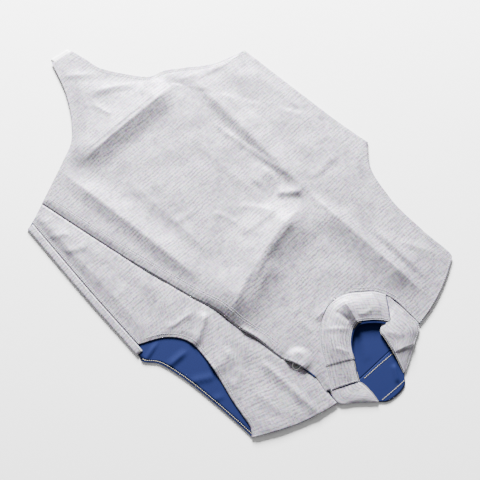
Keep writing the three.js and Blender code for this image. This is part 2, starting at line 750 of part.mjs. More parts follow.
addPiece("back_panel", solidOf(backPanel(), CLOTH), "silver");
addPiece("back_lining", solidOf(backLining(), LINING), "blue");
addPiece("front_left", solidOf(frontLeft(), CLOTH), "silver");
addPiece("zip_tape", solidOf(flapStrip(TAPE_STRIP), TAPE), "tape");
addPiece("flap_facing", solidOf(flapStrip(FACING_STRIP), LINING), "blue");
addPiece("front_right", solidOf(frontRight(), CLOTH), "silver");
addPiece("collar_back", solidOf(collarPiece(COLLAR_BACK, 18, 4), CLOTH), "silver");
const backLift = LINING_Z - BACK_Z;
const collarBackLining = collarPiece(COLLAR_BACK, 18, 4, backLift, COLLAR_LINING_INSET);
addPiece("collar_back_lining", solidOf(collarBackLining, LINING), "blue");
addPiece("collar_front", solidOf(collarPiece(COLLAR_FRONT, 10, 6), CLOTH), "silver");
addPiece("collar_front_lining", solidOf(collarPiece(COLLAR_FRONT_LINING, 12, 3), LINING), "blue");
addPiece("collar_right", solidOf(collarPiece(COLLAR_RIGHT, 12, 5), CLOTH), "silver");
addPiece("collar_left", solidOf(collarPiece(COLLAR_LEFT, 14, 4), CLOTH), "silver");
addPiece("crotch_strap", solidOf(crotchStrap(), TAPE), "elastic");

const zipPull = new THREE.Group();
const pivot = flapPoint(SLIDER.y, SLIDER.inset);
const pivotZ = FRONT_Z + TAPE_RISE + TAPE / 2 + GAP + lugSize / 2;
const outward = flapPoint(SLIDER.y, 0);
zipPull.position.set(pivot.x, pivot.y, pivotZ);
zipPull.rotation.z = Math.atan2(outward.y - pivot.y, outward.x - pivot.x);
garment.add(zipPull);
addPiece("zip_slider", sliderBody(), "slider", zipPull);
const drop = pivotZ - RING.wire / 2 - (FRONT_Z + CLOTH / 2 + GAP);
addPiece("zip_ring", ringLoop(Math.asin(drop / (RING.reach - RING.wire))), "ring", zipPull);

export default garment;
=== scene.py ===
"""Fencing lame: a sleeveless over-jacket of metal-faced cloth, laid flat on its back with the front up.

Plan sizes are in mm from the middle of the crotch point. x runs to the wearer's left, y to the head, z up.
Each cloth piece is a surface of points in the middle of the cloth, worked out as whole arrays.
"""
import math

import bmesh
import bpy
import numpy as np
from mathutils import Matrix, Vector
from mathutils.bvhtree import BVHTree


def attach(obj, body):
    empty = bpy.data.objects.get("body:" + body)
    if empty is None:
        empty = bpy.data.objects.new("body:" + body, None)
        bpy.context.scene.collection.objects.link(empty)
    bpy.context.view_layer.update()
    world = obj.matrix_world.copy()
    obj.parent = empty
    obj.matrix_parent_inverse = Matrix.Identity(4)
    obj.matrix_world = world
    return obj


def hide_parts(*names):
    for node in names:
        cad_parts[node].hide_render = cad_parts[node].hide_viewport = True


bl_info = {
    "name": "Fencing Lame",
    "version": (1, 0, 0),
    "blender": (4, 5, 0),
    "location": "View3D > Sidebar > Lame",
    "description": "Builds a sleeveless fencing jacket of metal-faced cloth, laid flat",
    "category": "Add Mesh",
}

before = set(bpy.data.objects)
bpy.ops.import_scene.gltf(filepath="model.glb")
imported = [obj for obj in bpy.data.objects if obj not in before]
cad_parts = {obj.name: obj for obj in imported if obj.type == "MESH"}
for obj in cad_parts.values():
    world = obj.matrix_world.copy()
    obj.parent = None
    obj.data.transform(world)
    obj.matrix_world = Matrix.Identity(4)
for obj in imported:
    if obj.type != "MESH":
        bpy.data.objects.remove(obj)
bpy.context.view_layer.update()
BODY = "garment"
RING_BODY = "pull_ring"
MM = 0.001


def table(columns, lines):
    """The columns of a table by name, as arrays."""
    return dict(zip(columns.split(), np.array(lines, float).T))


# Cloth thickness and the space between layers
CLOTH = 1.2
LINING = 1.0
TAPE = 1.0
GAP = 0.3

# Height of the middle of each flat layer above the floor
BACK_Z = CLOTH / 2
LINING_Z = CLOTH + GAP + LINING / 2
FRONT_Z = CLOTH + GAP + LINING + GAP + CLOTH / 2

# Rise of the flap's layers over the left front: these thin cloths lie closer together than their solids
TAPE_RISE = 1.0
FACING_RISE = 1.9
FLAP_RISE = 2.9
TAPE_SHELL = 0.6

# The plan point that stands over the part's origin
CENTRE = np.array([-2.0, 408.386, 0.0])

# Side folds: the cloth turns over at the edge of the body in a half circle, then runs on level
FOLD_RADIUS = (FRONT_Z - BACK_Z) / 2
WRAP = 10.0
FOLD_STEPS = 8
WRAP_ROWS = 4

# How far the front stands off the lining away from its edges, and how far in from an edge that takes.
# Below the hem corners it rises over a longer way.
PILLOW = 2.2
PILLOW_REACH = 38.0
HEM_REACH = {"reach": 62.0, "low": 190.0, "high": 270.0}

# The flap: how far the layers under it reach in from its edge, and where it comes back down
FLAP_LEVEL = 42.0
FLAP_RAMP = 82.0
FLAP_FOOT = (140.0, 168.0)
TAPE_INSET = (30.0, 9.0)
FACING_INSET = (31.0, 4.0)
FACING_BUMP_SHARE = 0.8

# How far the flap's edge hangs down onto the left front, and over what width
FLAP_EDGE_REACH = 10.5
FLAP_DROOP = table("y drop", [
    [170, 2.35], [340, 2.3], [375, 1.5], [400, 0.8], [425, 0.8], [446, 1.9], [470, 1.6], [490, 1.6],
    [502, 1.9], [560, 1.8], [574, 1.0], [583, -1.2], [592, -1.6], [604, -1.0], [622, 0.2], [640, 1.5],
    [660, 1.5], [667, 0.4], [673, -0.4], [691, -0.4], [698, 0.6], [706, 0.6], [714, 0.4], [722, 1.5],
    [760, 1.6],
])

# The flap's layers end further in where its edge hangs down: how far, and where that stops
LAYER_SETBACK = {"tape": 5.0, "facing": 3.2, "low": 636.0, "high": 668.0}

# Slack between the folds: the height and size of its wide and small hills, the cells of the lattice they are
# drawn from, how that lattice is turned, and what share of the small creases the flap and its edge take away
SLACK = {"wide": 1.1, "wide_size": 52.0, "small": 0.42, "small_size": 21.0}
NOISE_CELLS = 40
NOISE_TURN = (0.85, 0.53)
FRONT_SEED = 3
LEFT_SEED = 11
FLAP_FLATTENING = {"flap": 0.7, "edge": 0.8}

# Where the left front's own creases start beside the flap, and how far in from its seams they end
LEFT_SLACK_START = 26.0
LEFT_SLACK_EDGE = 16.0

# The tube of the flap's rolled edge and its place beside the edge, and how the left front rises next to it
FLAP_ROLL = {"radius": 0.5, "place": (0.15, 0.0, -0.25)}
FLAP_LIP = {"rise": 0.9, "reach": 2.6}

# How the ribs of the left front turn towards the shoulder: between two heights, about a line up the garment
RIB_TURN = {"angle": math.radians(-16), "low": 430.0, "high": 680.0, "about": 150.0}

# How far the crotch point sinks over the strap's end, and over what length
STRAP_END_DROP = 0.5
STRAP_END_REACH = 16.0

# The zip's slider and its wire ring, at the top of the tape. The bump is how high the cloth stands over the
# slider, level out to a share of its reach. The mouth is where its sides end, as a share of half its length.
SLIDER = {
    "y": 682.0, "inset": 2.2, "length": 13.0, "width": 9.0, "height": 2.2, "nose": 4.2, "plate": 0.6,
    "lap": 0.4, "mouth": 0.6, "post": 1.0, "post_foot": 1.4, "worn": 0.12,
    "bump": 3.9, "reach": 26.0, "level": 0.42,
}
RING = {
    "wire": 1.3, "width": 14.0, "reach": 11.5, "corner": 2.2,
    "sides": 16, "bar_points": 9, "corner_points": 6, "bow_points": 40,
}
LUG = {"length": 3.4, "wall": 0.6, "play": 0.3, "sides": 24}

# Outer width of the lug that the ring's wire turns in
LUG_SIZE = RING["wire"] + 2 * (LUG["play"] + LUG["wall"])

# The zip's teeth: from which height to which they run, their spacing and sizes, and how far the two rows mesh
TEETH = {
    "low": 204.0, "high": 668.0, "pitch": 1.6, "length": 1.0, "width": 1.9, "height": 0.8, "overlap": 0.7,
}

# The strips under the flap: their step, from which height to which they run, and their columns; then the
# facing's rolled end, which shows at the neck
STRIP_STEP = 2.0
TAPE_STRIP = {"low": 200.0, "high": 700.0, "columns": 8}
FACING_STRIP = {"low": 198.0, "high": 706.0, "columns": 10}
FACING_END = {"places": (694.0, 700.0, 707.0, 716.0), "out": 0.5, "radius": 0.9}

# Steps of the grids: the front and left front, then the flat layers. Points of one cloth that lie nearer to
# each other than the last are joined.
FINE = 3.0
MEDIUM = 5.0
JOIN_REACH = 0.02

# A machine stitch: its share of the pitch, the thread's sides, the height that it is dropped from onto the
# cloth, and its radius along its length
STITCH = {"share": 0.84, "sides": 6}
RAY_START = 100.0
STITCH_SHAPE = np.array([[-0.5, 0.15], [-0.36, 0.85], [0.0, 1.0], [0.36, 0.85], [0.5, 0.15]])

# How far in from its edge each line of stitching runs, and where the flap's two lines start and end
HEM_SEWING = 6.0
FLAP_SEWING = (13.0, 16.4)
FLAP_SEWING_RUN = (196.0, 640.0)
SEAM_SEWING = 2.2
BLUE_SEWING = 1.6

# The share of the shoulder line that is sewn and the left front's sewn hem, each with its number of points,
# and how many points other lines leave out at their start
SHOULDER_RUN = (0.04, 0.96, 30)
LEFT_HEM = ((208, 191), (236, 204), 12)
SEWING_STARTS = {"neck": 10, "armhole": 3, "collar": 8}

# Thickness of the lining's thread against the cloth's
BLUE_THREAD = 1.1

# The tubes of edges and seams: their sides, the armhole's binding and how far in it lies, and the collar's
# seam, which lies below the collar's first column and before it by a share of the columns' spacing
TUBE_SIDES = 8
ARMHOLE_EDGE = {"radius": 0.8, "inset": 0.2}
NECK_SEAM = {"radius": 0.8, "drop": 0.5, "before": 0.4}

# Tubes along the collar's rim: the radius, then how far out and up it lies on the front, right and left part
COLLAR_TUBES = {
    "collar_binding": (0.5, (0.0, 0.1), (0.1, 0.0), (0.1, 0.0)),
    "collar_cord": (0.45, (2.2, -0.9), (1.9, -0.9), (1.8, -0.4)),
    # The blue piping is partly the lining's edge and partly painted shade: a dark tube where shade falls
    # under the rim
    "collar_piping_and_shade_line": (0.6, (1.1, -0.6), (1.2, -0.7), (1.1, -0.3)),
}
RIM_STEP = 2.5

# Where the blue piping goes on round the two ends of the collar's front: its last row, where the lining
# shows, then its first, where the dark tube is painted shade in the gap where the front's end lies over the
# right part
PIPING_AND_SHADE_ENDS = ((-1, 10, (0.5, 0.6, -0.5)), (0, 2, (-0.7, 0.0, -0.3)))

# Grids of the collar's parts: the step along the seam and the columns from seam to rim
COLLAR_GRIDS = {
    "front": (1.6, 36), "right": (1.6, 40), "left": (2.5, 20), "back": (3.0, 20), "lining": (3.0, 26),
    "inner": (2.5, 12),
}

# Cream seams on the lining in the neck, as plan lines
NECK_SEAMS = ([[32, 771.2], [0, 771.8], [-31, 773.2]], [[37, 815.5], [8, 817], [-12, 817.4]])

# Each sheet: its cloth, its solid, its flat width and length in mm, and what it rests on
SHEETS = {
    "front_cloth": ("silver", "front_right", (470, 775), ["back_lining", "front_left"]),
    "left_front_cloth": ("silver", "front_left", (185, 600), ["back_lining"]),
    "back_cloth": ("silver", "back_panel", (545, 755), []),
    "back_lining_cloth": ("blue", "back_lining", (535, 635), ["back_panel"]),
    "zip_tape_cloth": ("tape", "zip_tape", (22, 520), ["front_left"]),
    "flap_facing_cloth": ("blue", "flap_facing", (28, 530), ["zip_tape"]),
    "collar_front_cloth": ("silver", "collar_front", (235, 64), ["front_right"]),
    "collar_right_cloth": ("silver", "collar_right", (135, 62), ["back_lining", "front_right"]),
    "collar_left_cloth": ("silver", "collar_left", (92, 56), ["collar_back_lining"]),
    "collar_back_cloth": ("silver", "collar_back", (186, 60), []),
    "collar_back_lining_cloth": ("blue", "collar_back_lining", (186, 62), ["collar_back"]),
    "collar_front_lining_cloth": ("blue", "collar_front_lining", (140, 26), ["collar_front"]),
    "crotch_strap_elastic": ("elastic", "crotch_strap", (35, 75), ["back_panel"]),
}

# Plain finishes: main colour, shade, roughness, share of metal and size of the grain in mm
FINISHES = {
    # Woven polyester twill: matt, a little grey between its white threads
    "white_zip_tape": ("#dcdcde", "#c6c6ca", 0.8, 0.0, 1.2),
    # Nickel plated on die-cast zinc: a satin metal gloss
    "nickel_plated_zinc": ("#c9c9cc", "#a9a9ae", 0.35, 0.9, 0.5),
    # Knitted elastic: matt white with a soft grain
    "white_elastic": ("#f4f4f4", "#e2e2e4", 0.8, 0.0, 1.5),
    # Steel wire with a white coat: smooth, with a slight gloss
    "white_coated_wire": ("#f2f2f2", "#e4e4e4", 0.35, 0.1, 0.8),
    # Spun polyester sewing thread: nearly matt, with a fine twist grain
    "grey_thread": ("#bcbbc3", "#a2a1ab", 0.7, 0.0, 0.6),
    "cream_thread": ("#b3ad9b", "#99937f", 0.7, 0.0, 0.6),
}

# Strength, and depth in mm, of the grain of those finishes
FINISH_BUMP = (0.15, 0.1)

# Where the two colours of a plain grain lie on its noise
GRAIN_SPAN = (0.35, 0.65)

# Turns of a wave texture for each unit of its coordinate at scale 1
WAVE_TURNS = 20.0

# Sections across the garment: rx, ry is the end at the wearer's right, lx, ly the end at the left.
# The front from the crotch point up to the hem corners
FRONT_LEGS = table("rx ry lx ly", [
    [-24, 3, 17, -3],
    [-31, 34, 28, 32],
    [-37, 62, 39, 60],
    [-59, 98, 62, 100],
    [-87, 133, 92, 135],
    [-115, 143, 127, 154],
    [-145, 163, 155, 167],
    [-187, 192, 184, 180],
    [-241.5, 209, 204, 189],
])

# The front from the hem corners to the right underarm; the left end is the flap's edge
FRONT_BODY = table("rx ry lx ly", [
    [-241.5, 209, 204, 189],
    [-246, 265, 190, 258],
    [-254, 356, 169, 356],
    [-260, 420, 152, 424],
    [-269, 482.5, 137, 482],
])

# The front from the underarm to the lowest point of the neckline
FRONT_CHEST = table("rx ry lx ly", [
    [-269, 482.5, 137, 482],
    [-238, 521.5, 123, 526],
    [-224, 575, 118, 572],
    [-220, 609, 109, 610],
    [-220, 645, 106, 645],
])

# The front's right shoulder: from the armhole to the neck seam
FRONT_SHOULDER = table("rx ry lx ly", [
    [-220, 645, -29, 645],
    [-220, 664, -49, 651],
    [-221, 680, -67, 664],
    [-222, 694, -86, 682],
    [-223, 706, -97, 710],
    [-223, 716, -98, 740],
    [-221, 724, -97.5, 768.5],
])

# The front's narrow left end: from the neck seam to the flap's edge
FRONT_NECK_END = table("rx ry lx ly", [
    [-29, 645, 106, 645],
    [-8, 646, 103, 659],
    [21, 661, 98, 672],
    [43, 683, 92, 688],
    [61, 712, 86, 714],
    [84, 749, 91, 745],
])

# The wearer's left front: from its hidden edge under the flap to the side seam or armhole
LEFT_BODY = table("rx ry lx ly", [
    [166, 172, 238.3, 205],
    [152, 262, 242.2, 265],
    [131, 356, 248.2, 356],
    [114, 424, 251.5, 424],
    [99, 482, 253.9, 482],
])
LEFT_CHEST = table("rx ry lx ly", [
    [99, 482, 253.9, 482],
    [92, 505, 214, 503],
    [85, 526, 192, 533],
    [80, 572, 191, 571.5],
    [72, 612, 199, 615],
    [68, 650, 208, 652],
    [64, 680, 213, 680],
    [68, 708, 217, 702],
    [88.5, 744, 222, 711],
    [92.5, 771, 227.5, 718],
])

# The back: its left end is folded over onto the front between the hem and the underarm
BACK_LEGS = table("rx ry lx ly", [
    [-19, 18, 12, 15],
    [-33, 62, 34, 60],
    [-66, 112, 60, 107],
    [-85, 136, 92, 142],
    [-114, 147, 122, 155],
    [-142, 166, 152, 169],
    [-184, 195, 186, 183],
    [-230.9, 209, 249, 207],
])
BACK_BODY = table("rx ry lx ly", [
    [-230.9, 209, 249, 207],
    [-235.4, 265, 253, 265],
    [-243.4, 356, 259, 356],
    [-249.4, 420, 262, 420],
    [-258.4, 482.5, 265, 495],
])
BACK_CHEST = table("rx ry lx ly", [
    [-258.4, 482.5, 265, 495],
    [-250, 498, 266, 509],
    [-235, 522, 250, 529],
    [-222, 575, 240, 566],
    [-218, 609, 234, 606],
    [-218, 664, 230, 648],
    [-221, 706, 227, 690],
    [-219, 722, 226, 717],
])

# Outline of the shoulders and neck seam, from right to left
BACK_TOP = table("x y", [
    [-219, 722], [-150, 755.5], [-125, 764.5], [-97, 768], [92, 768], [130, 750], [165, 747],
    [226, 717],
])
BACK_TOP_REACH = 120.0

# How far the lining lies in from the back's edges, and the row of the back's legs where it starts
LINING_INSET = 0.9
BLUE_START = 3

# How far the middle of a front's shoulder line bows out, and how far down the rows below bow with it
SHOULDER_BULGE = 8.0
SHOULDER_REACH = 60.0

# Collar sections from the seam (rx, ry) to the rim (lx, ly), with the height of each and the arch between
COLLAR_FRONT = table("rx ry lx ly seam rim arch", [
    [-92.4, 697, -65, 734, 6.6, 8.8, 1.2],
    [-83.4, 681, -55, 720, 5.8, 9, 3],
    [-66, 665.6, -42, 708, 5.6, 9, 4],
    [-48.6, 652.6, -30, 700, 5.6, 9, 4.5],
    [-29, 646.2, -20, 699, 5.6, 8.5, 4.5],
    [-8.2, 647.2, -8, 703, 5.6, 8.5, 5],
    [20.2, 662, 8, 716, 5.7, 8.5, 5],
    [42, 683.8, 19, 731, 6.3, 8.6, 4.5],
    [60, 712.6, 30, 746, 6, 7.6, 2.5],
    [83.2, 749.8, 43, 768, 5, 5.4, 0.4],
])
COLLAR_RIGHT = table("rx ry lx ly seam rim arch", [
    [-95, 694, -68, 721, 3.8, 4.2, 0],
    [-95.4, 713, -50, 729, 5, 5.2, 0.4],
    [-96.4, 726, -42.5, 736, 5.4, 6.6, 2.4],
    [-96.4, 745, -40.5, 747, 5.2, 7.6, 4.2],
    [-94.8, 769.5, -36, 765, 3.5, 7.4, 5],
    [-72, 783, -31, 782, 3.5, 6.5, 3],
    [-45, 797, -26, 796, 3.5, 5, 1.5],
    [-27, 806, -22, 807, 3.5, 3.8, 0],
])
COLLAR_FRONT_LINING = table("rx ry lx ly seam rim arch", [
    [-74, 722, -60.6, 740, 7.6, 7.6, 0.2],
    [-66, 712, -51, 725.6, 7.6, 7.8, 0.2],
    [-50, 698, -38.8, 713.6, 7.8, 7.8, 0.2],
    [-36, 690, -28, 706, 7.8, 7.8, 0.2],
    [-22, 687, -19.2, 704.4, 7.6, 7.4, 0.2],
    [-10, 691, -8, 707.5, 7.6, 7.4, 0.2],
    [3, 705, 7.4, 719.4, 7.6, 7.4, 0.2],
    [11, 721, 17.8, 734, 7.6, 7.5, 0.2],
    [20, 737, 28.2, 748.6, 6.4, 6.4, 0.2],
    [30, 751, 38, 761, 4.6, 4.2, 0.2],
])
COLLAR_LEFT = table("rx ry lx ly seam rim arch", [
    [84.5, 741, 46, 763, 3, 3.2, 0.2],
    [91.2, 771.5, 41.5, 778, 3.2, 3.8, 1],
    [70, 790, 42, 797, 3.4, 4.3, 1.4],
    [46.5, 811, 44.5, 812, 3.4, 3.6, 0],
])
COLLAR_BACK = table("rx ry lx ly seam rim arch", [
    [-93, 768.4, -92, 771.5, 0.6, 0.6, 0],
    [-66, 768.4, -66, 785, 0.6, 0.6, 0],
    [-30, 768.4, -26, 805, 0.6, 0.6, 0],
    [-6, 768.4, -4, 825, 0.6, 0.6, 0],
    [28, 768.4, 28.5, 825, 0.6, 0.6, 0],
    [45, 768.4, 46, 811, 0.6, 0.6, 0],
    [70, 768.4, 70, 790, 0.6, 0.6, 0],
    [90, 768.4, 90, 772.5, 0.6, 0.6, 0],
])

# The back collar's lining: how far it lies above the collar, and from which share of its width to which
COLLAR_LINING_LIFT = LINING_Z - BACK_Z
COLLAR_LINING_SPAN = (-0.03, 0.98)

# The step on the collar's front end where its upper layer stops, along a plan line, and how far it drops
TAB_STEP = {"x0": 66.0, "y0": 713.0, "x1": 24.0, "y1": 736.5, "drop": 1.0, "width": 1.6}

# The strap's end at the crotch point: from where to where it runs, its two sides, its shift, lean and slant,
# and the length over which it rises between the layers
STRAP = {
    "low": -9.0, "high": 62.0, "right": -21.0, "left": 13.0, "shift": 0.5, "lean": 0.02, "slant": -0.14,
    "rise": 22.0, "rows": 30, "columns": 12,
}

# Folds from x0, y0 to x1, y1, with the crest's bow sideways, its rise, and how far it falls to its left and
# right. The left is the wearer's right of a fold that runs up the garment, the head side of one across it.
FRONT_FOLDS = {
    "long crease": (-137, 186, -130, 510, 0, 4.6, 44, 20),
    "chest crease": (-131, 470, -142, 790, 0, 8.5, 18, 46),
    "shoulder crease": (-164, 590, -161, 800, 0, 3.2, 22, 22),
    "left crease": (146, 150, 104, 500, 2, 4.6, 44, 24),
    "hem crease": (-116, 177, 126, 178, 0, 9.5, 36, 66),
    "chest fold": (-118, 490, 134, 560, -13, 13.5, 62, 84),
    "point crease": (-102, 166, 14, 88, -9, 3.2, 15, 26),
    "point end crease": (-34, 74, 28, 26, 0, 3, 12, 20),
}

# Folds of the left front, which the flap's layers follow
LEFT_FOLDS = {
    "shoulder crease": (125, 770, 131, 630, 0, 2.4, 14, 12),
    "armhole fold": (136, 516, 194, 548, 3, 3.6, 11, 18),
    "armhole fold two": (150, 590, 206, 590, 8, 3, 26, 30),
    "side seam ridge": (222, 190, 230, 500, 0, 1.6, 40, 16),
}

# Small creases that only the finished cloth has
FRONT_CREASES = {
    "right chest line": (-216, 464, -146, 465, 0, 1.3, 10, 24),
    "pucker": (-126, 474, -88, 444, 0, 3.4, 11, 22),
    "pucker hollow": (-116, 404, -74, 408, 0, 2.2, 46, 30),
    "under collar line": (-36, 650, 26, 650, -2, 1.6, 9, 16),
    "under collar cross line": (36, 626, 40, 664, 0, 1.1, 9, 12),
    "belly line": (-70, 466, 8, 458, 3, 1.4, 10, 26),
    "belly streak": (-66, 474, -22, 412, -5, 1.1, 14, 12),
    "belly streak two": (-6, 446, 12, 392, -3, 1, 12, 12),
    "chest fold line": (-90, 502, 60, 540, -8, 1.4, 9, 9),
    "chest fold branch": (-4, 524, 120, 572, 4, 2.6, 26, 30),
    "low streak": (-70, 440, -60, 250, 4, 0.8, 16, 20),
    "low streak two": (64, 460, 76, 236, -4, 0.8, 18, 18),
    "hem corner line": (-196, 196, -112, 170, 3, 1.8, 16, 12),
    "hem corner line two": (-206, 208, -150, 176, 0, 1.4, 12, 10),
    "hem edge line": (-200, 204, -96, 144, 0, 3.2, 20, 8),
    "right hip streak": (-226, 232, -232, 372, 3, 1.2, 14, 16),
    "right hip streak two": (-164, 240, -160, 350, -3, 1.2, 16, 18),
    "right shoulder line": (-216, 704, -176, 640, 5, 1.1, 12, 14),
    "long crease edge": (-106, 262, -134, 452, -3, 1.5, 5, 12),
    "middle dent": (24, 372, 74, 366, 3, 0.9, 10, 14),
    "hem fold line": (-96, 168, 96, 169, 0, 1.2, 7, 10),
    "point streak": (10, 150, 20, 106, 0, 1, 10, 12),
}

# Small creases of the left front
LEFT_CREASES = {
    "hip line": (196, 300, 236, 280, 2, 1.2, 9, 12),
    "hip line two": (206, 262, 238, 244, 0, 1.2, 8, 12),
    "waist line": (196, 392, 236, 402, 2, 0.8, 12, 12),
    "armhole line": (150, 502, 206, 494, 2, 1.8, 9, 14),
    "armhole dent": (160, 624, 198, 640, 3, 1.4, 14, 20),
    "shoulder line": (168, 728, 176, 664, -3, 1, 14, 14),
    "hem line": (206, 224, 232, 214, 0, 1, 8, 10),
}

# Creases of the collar's front and of its right part
COLLAR_CREASES = {
    "pinch": (-36, 656, -22, 708, 0, 6.8, 9, 15),
    "pinch hollow": (-14, 660, -17, 692, 0, -1.8, 7, 9),
    "band crease": (22, 670, -10, 700, 0, 1.0, 6, 10),
    "band mark": (32, 704, 20, 727, 0, 0.9, 5, 9),
    "end crease": (-80, 672, -62, 716, 2, 1.1, 8, 10),
    "rim crease": (-60, 700, -34, 690, 2, 0.9, 7, 8),
}
RIGHT_COLLAR_CREASES = {
    "shoulder seam": (-30, 774, -76, 790, 0, 2.2, 16, 2.5),
    "rim line": (-46, 738, -62, 768, 0, 0.8, 8, 10),
}

# Folds of the blue lining where it shows in the neck and the left armhole
BLUE_FOLDS = {
    "neck fold": (-20, 786, -1, 815, 0, 2.2, 5, 9),
    "neck dent": (-8, 722, 8, 756, 0, 0.7, 12, 10),
    "armhole fold": (204, 544, 246, 543, 0, 2.4, 9, 12),
    "armhole fold two": (200, 608, 238, 584, 0, 1.8, 8, 12),
    "armhole fold three": (214, 640, 232, 630, 0, 1.2, 8, 11),
    "armhole pleat": (230, 500, 262, 511, 0, 2.4, 5, 7),
}

# How steeply a fold falls away from its crest, and the share of its length over which it fades at each end
FOLD_FALL = 1.6
FOLD_END_SHARE = 0.23

# Columns of the front between its guide lines: right end, long crease, middle, foot and top of the flap's
# step, and edge. Each guide line crosses a section between a least and a greatest share, and the step's top
# lies a little past the level part.
RIGHT_CREASE = {"x0": -137.0, "y0": 186.0, "x1": -142.0, "y1": 785.0, "bow": 8.0}
MIDDLE = {"x0": 4.0, "y0": 200.0, "x1": -29.0, "y1": 645.0, "bow": 0.0}
FRONT_COLUMNS = [30, 36, 32, 14, 14]
GUIDE_SPANS = {"long": (0.22, 0.4), "middle": (0.4, 0.6), "step_foot": 0.68, "step_top": 0.84}
STEP_MARGIN = 2.0

# Columns of the left front and of the back
LEFT_COLUMNS = 58
BACK_COLUMNS = 80

# The floor is matt white paper: its width in metres, then its roughness, share of metal and the size of its
# faint, broad unevenness in mm
FLOOR_SIZE = 12.0
FLOOR_FINISH = (0.9, 0.0, 400.0)

# The soft light from all sides, the light from the picture's upper edge, and the camera, in metres and
# degrees
WORLD_LIGHT = 0.38
KEY_LIGHT = {"place": (-1.75, -2.15, 1.2), "size": 1.1, "energy": 990}
CAMERA = {
    "target": (0.0114, 0.0537, 0.0), "azimuth": 136.4, "elevation": 67.0, "distance": 2.472, "lens": 112.5,
    "sensor": 36,
}


def clamp(value, low, high):
    """The value kept between two limits."""
    return np.minimum(np.maximum(value, low), high)


def mix(a, b, t):
    """The way from a to b at the share t."""
    return a + (b - a) * t


def smooth(low, high, value):
    """Rises smoothly from 0 to 1 between two values, or falls where the first is the larger."""
    t = clamp((value - low) / (high - low), 0, 1)
    return t * t * (3 - 2 * t)


def folds_at(folds, x, y):
    """Height of all folds of a table. Each is a crest along a bowed line: with f falling from 1 on the crest
    to 0 at its side, the height is rise f^2 (1.6 - 0.6 f), faded at both ends."""
    total = np.zeros(np.broadcast(x, y).shape)
    for x0, y0, x1, y1, bow, rise, left, right in folds.values():
        dx, dy = x1 - x0, y1 - y0
        length = math.hypot(dx, dy)
        along = ((x - x0) * dx + (y - y0) * dy) / length / length
        away = ((y - y0) * dx - (x - x0) * dy) / length
        t = clamp(along, 0, 1)
        side = away - 4 * bow * t * (1 - t)
        fall = 1 - np.minimum(np.abs(side) / np.where(side > 0, left, right), 1)
        ends = smooth(0, FOLD_END_SHARE, along) * smooth(0, FOLD_END_SHARE, 1 - along)
        total = total + rise * fall * fall * (FOLD_FALL - (FOLD_FALL - 1) * fall) * ends
    return total


def uneven(x, y, size, seed):
    """Soft random hills from -1 to 1: random heights on a turned square lattice, blended between."""
    heights = np.random.default_rng(seed).uniform(-1, 1, (NOISE_CELLS + 1, NOISE_CELLS + 1))
    along, beside = NOISE_TURN
    u = (along * x + beside * y) / size + NOISE_CELLS
    v = (along * y - beside * x) / size + NOISE_CELLS
    i, j = np.floor(u).astype(int), np.floor(v).astype(int)
    across_cell, up_cell = smooth(0, 1, u - i), smooth(0, 1, v - j)
    i, j = i % NOISE_CELLS, j % NOISE_CELLS
    low = mix(heights[i, j], heights[i + 1, j], across_cell)
    high = mix(heights[i, j + 1], heights[i + 1, j + 1], across_cell)
    return mix(low, high, up_cell)


def slack_at(x, y, seed):
    """Slack of the cloth between its folds: wide soft hills and smaller ones on them."""
    wide = SLACK["wide"] * uneven(x, y, SLACK["wide_size"], seed)
    return wide + SLACK["small"] * uneven(x, y, SLACK["small_size"], seed + 1)


def rows_at(rows, places):
    """A table read at fractional row numbers: cubic curves through its rows, sloped by the rows beside."""
    last = len(next(iter(rows.values()))) - 1
    i = clamp(np.floor(places).astype(int), 0, last - 1)
    t = places - i
    out = {}
    for name, v in rows.items():
        slope_from = (v[i + 1] - v[np.maximum(i - 1, 0)]) / np.where(i > 0, 2, 1)
        slope_to = (v[np.minimum(i + 2, last)] - v[i]) / np.where(i + 1 < last, 2, 1)
        out[name] = (
            (2 * t**3 - 3 * t**2 + 1) * v[i]
            + (t**3 - 2 * t**2 + t) * slope_from
            + (3 * t**2 - 2 * t**3) * v[i + 1]
            + (t**3 - t**2) * slope_to
        )
    return out


def refined(rows, step):
    """The table with extra rows between its own, so that steps along both ends are about the given one."""
    right = np.hypot(np.diff(rows["rx"]), np.diff(rows["ry"]))
    left = np.hypot(np.diff(rows["lx"]), np.diff(rows["ly"]))
    counts = np.maximum(1, np.round(np.maximum(right, left) / step)).astype(int)
    places = [i + np.arange(count) / count for i, count in enumerate(counts)]
    return rows_at(rows, np.concatenate(places + [[float(len(counts))]]))


def across(row, shares):
    """Plan grid of a panel: each section cut at its shares, and the distances from both its ends."""
    shares = np.broadcast_to(shares, (len(row["rx"]), np.shape(shares)[-1]))
    x = mix(row["rx"][:, None], row["lx"][:, None], shares)
    y = mix(row["ry"][:, None], row["ly"][:, None], shares)
    width = np.hypot(row["lx"] - row["rx"], row["ly"] - row["ry"])[:, None]
    return x, y, shares * width, (1 - shares) * width


def guided_shares(guides, counts):
    """Columns spread evenly between guide lines; guides holds one row of shares for each section."""
    parts = [guides[:, :1]]
    for g, count in enumerate(counts):
        t = np.arange(1, count + 1) / count
        parts.append(mix(guides[:, g:g + 1], guides[:, g + 1:g + 2], t))
    return np.concatenate(parts, axis=1)


def crossing(row, line, low, high):
    """Share of each section at which it crosses a bowed line that runs up the garment."""
    middle = (row["ry"] + row["ly"]) / 2
    t = clamp((middle - line["y0"]) / (line["y1"] - line["y0"]), 0, 1)
    x = mix(line["x0"], line["x1"], t) + 4 * line["bow"] * t * (1 - t)
    return clamp((x - row["rx"]) / (row["lx"] - row["rx"]), low, high)


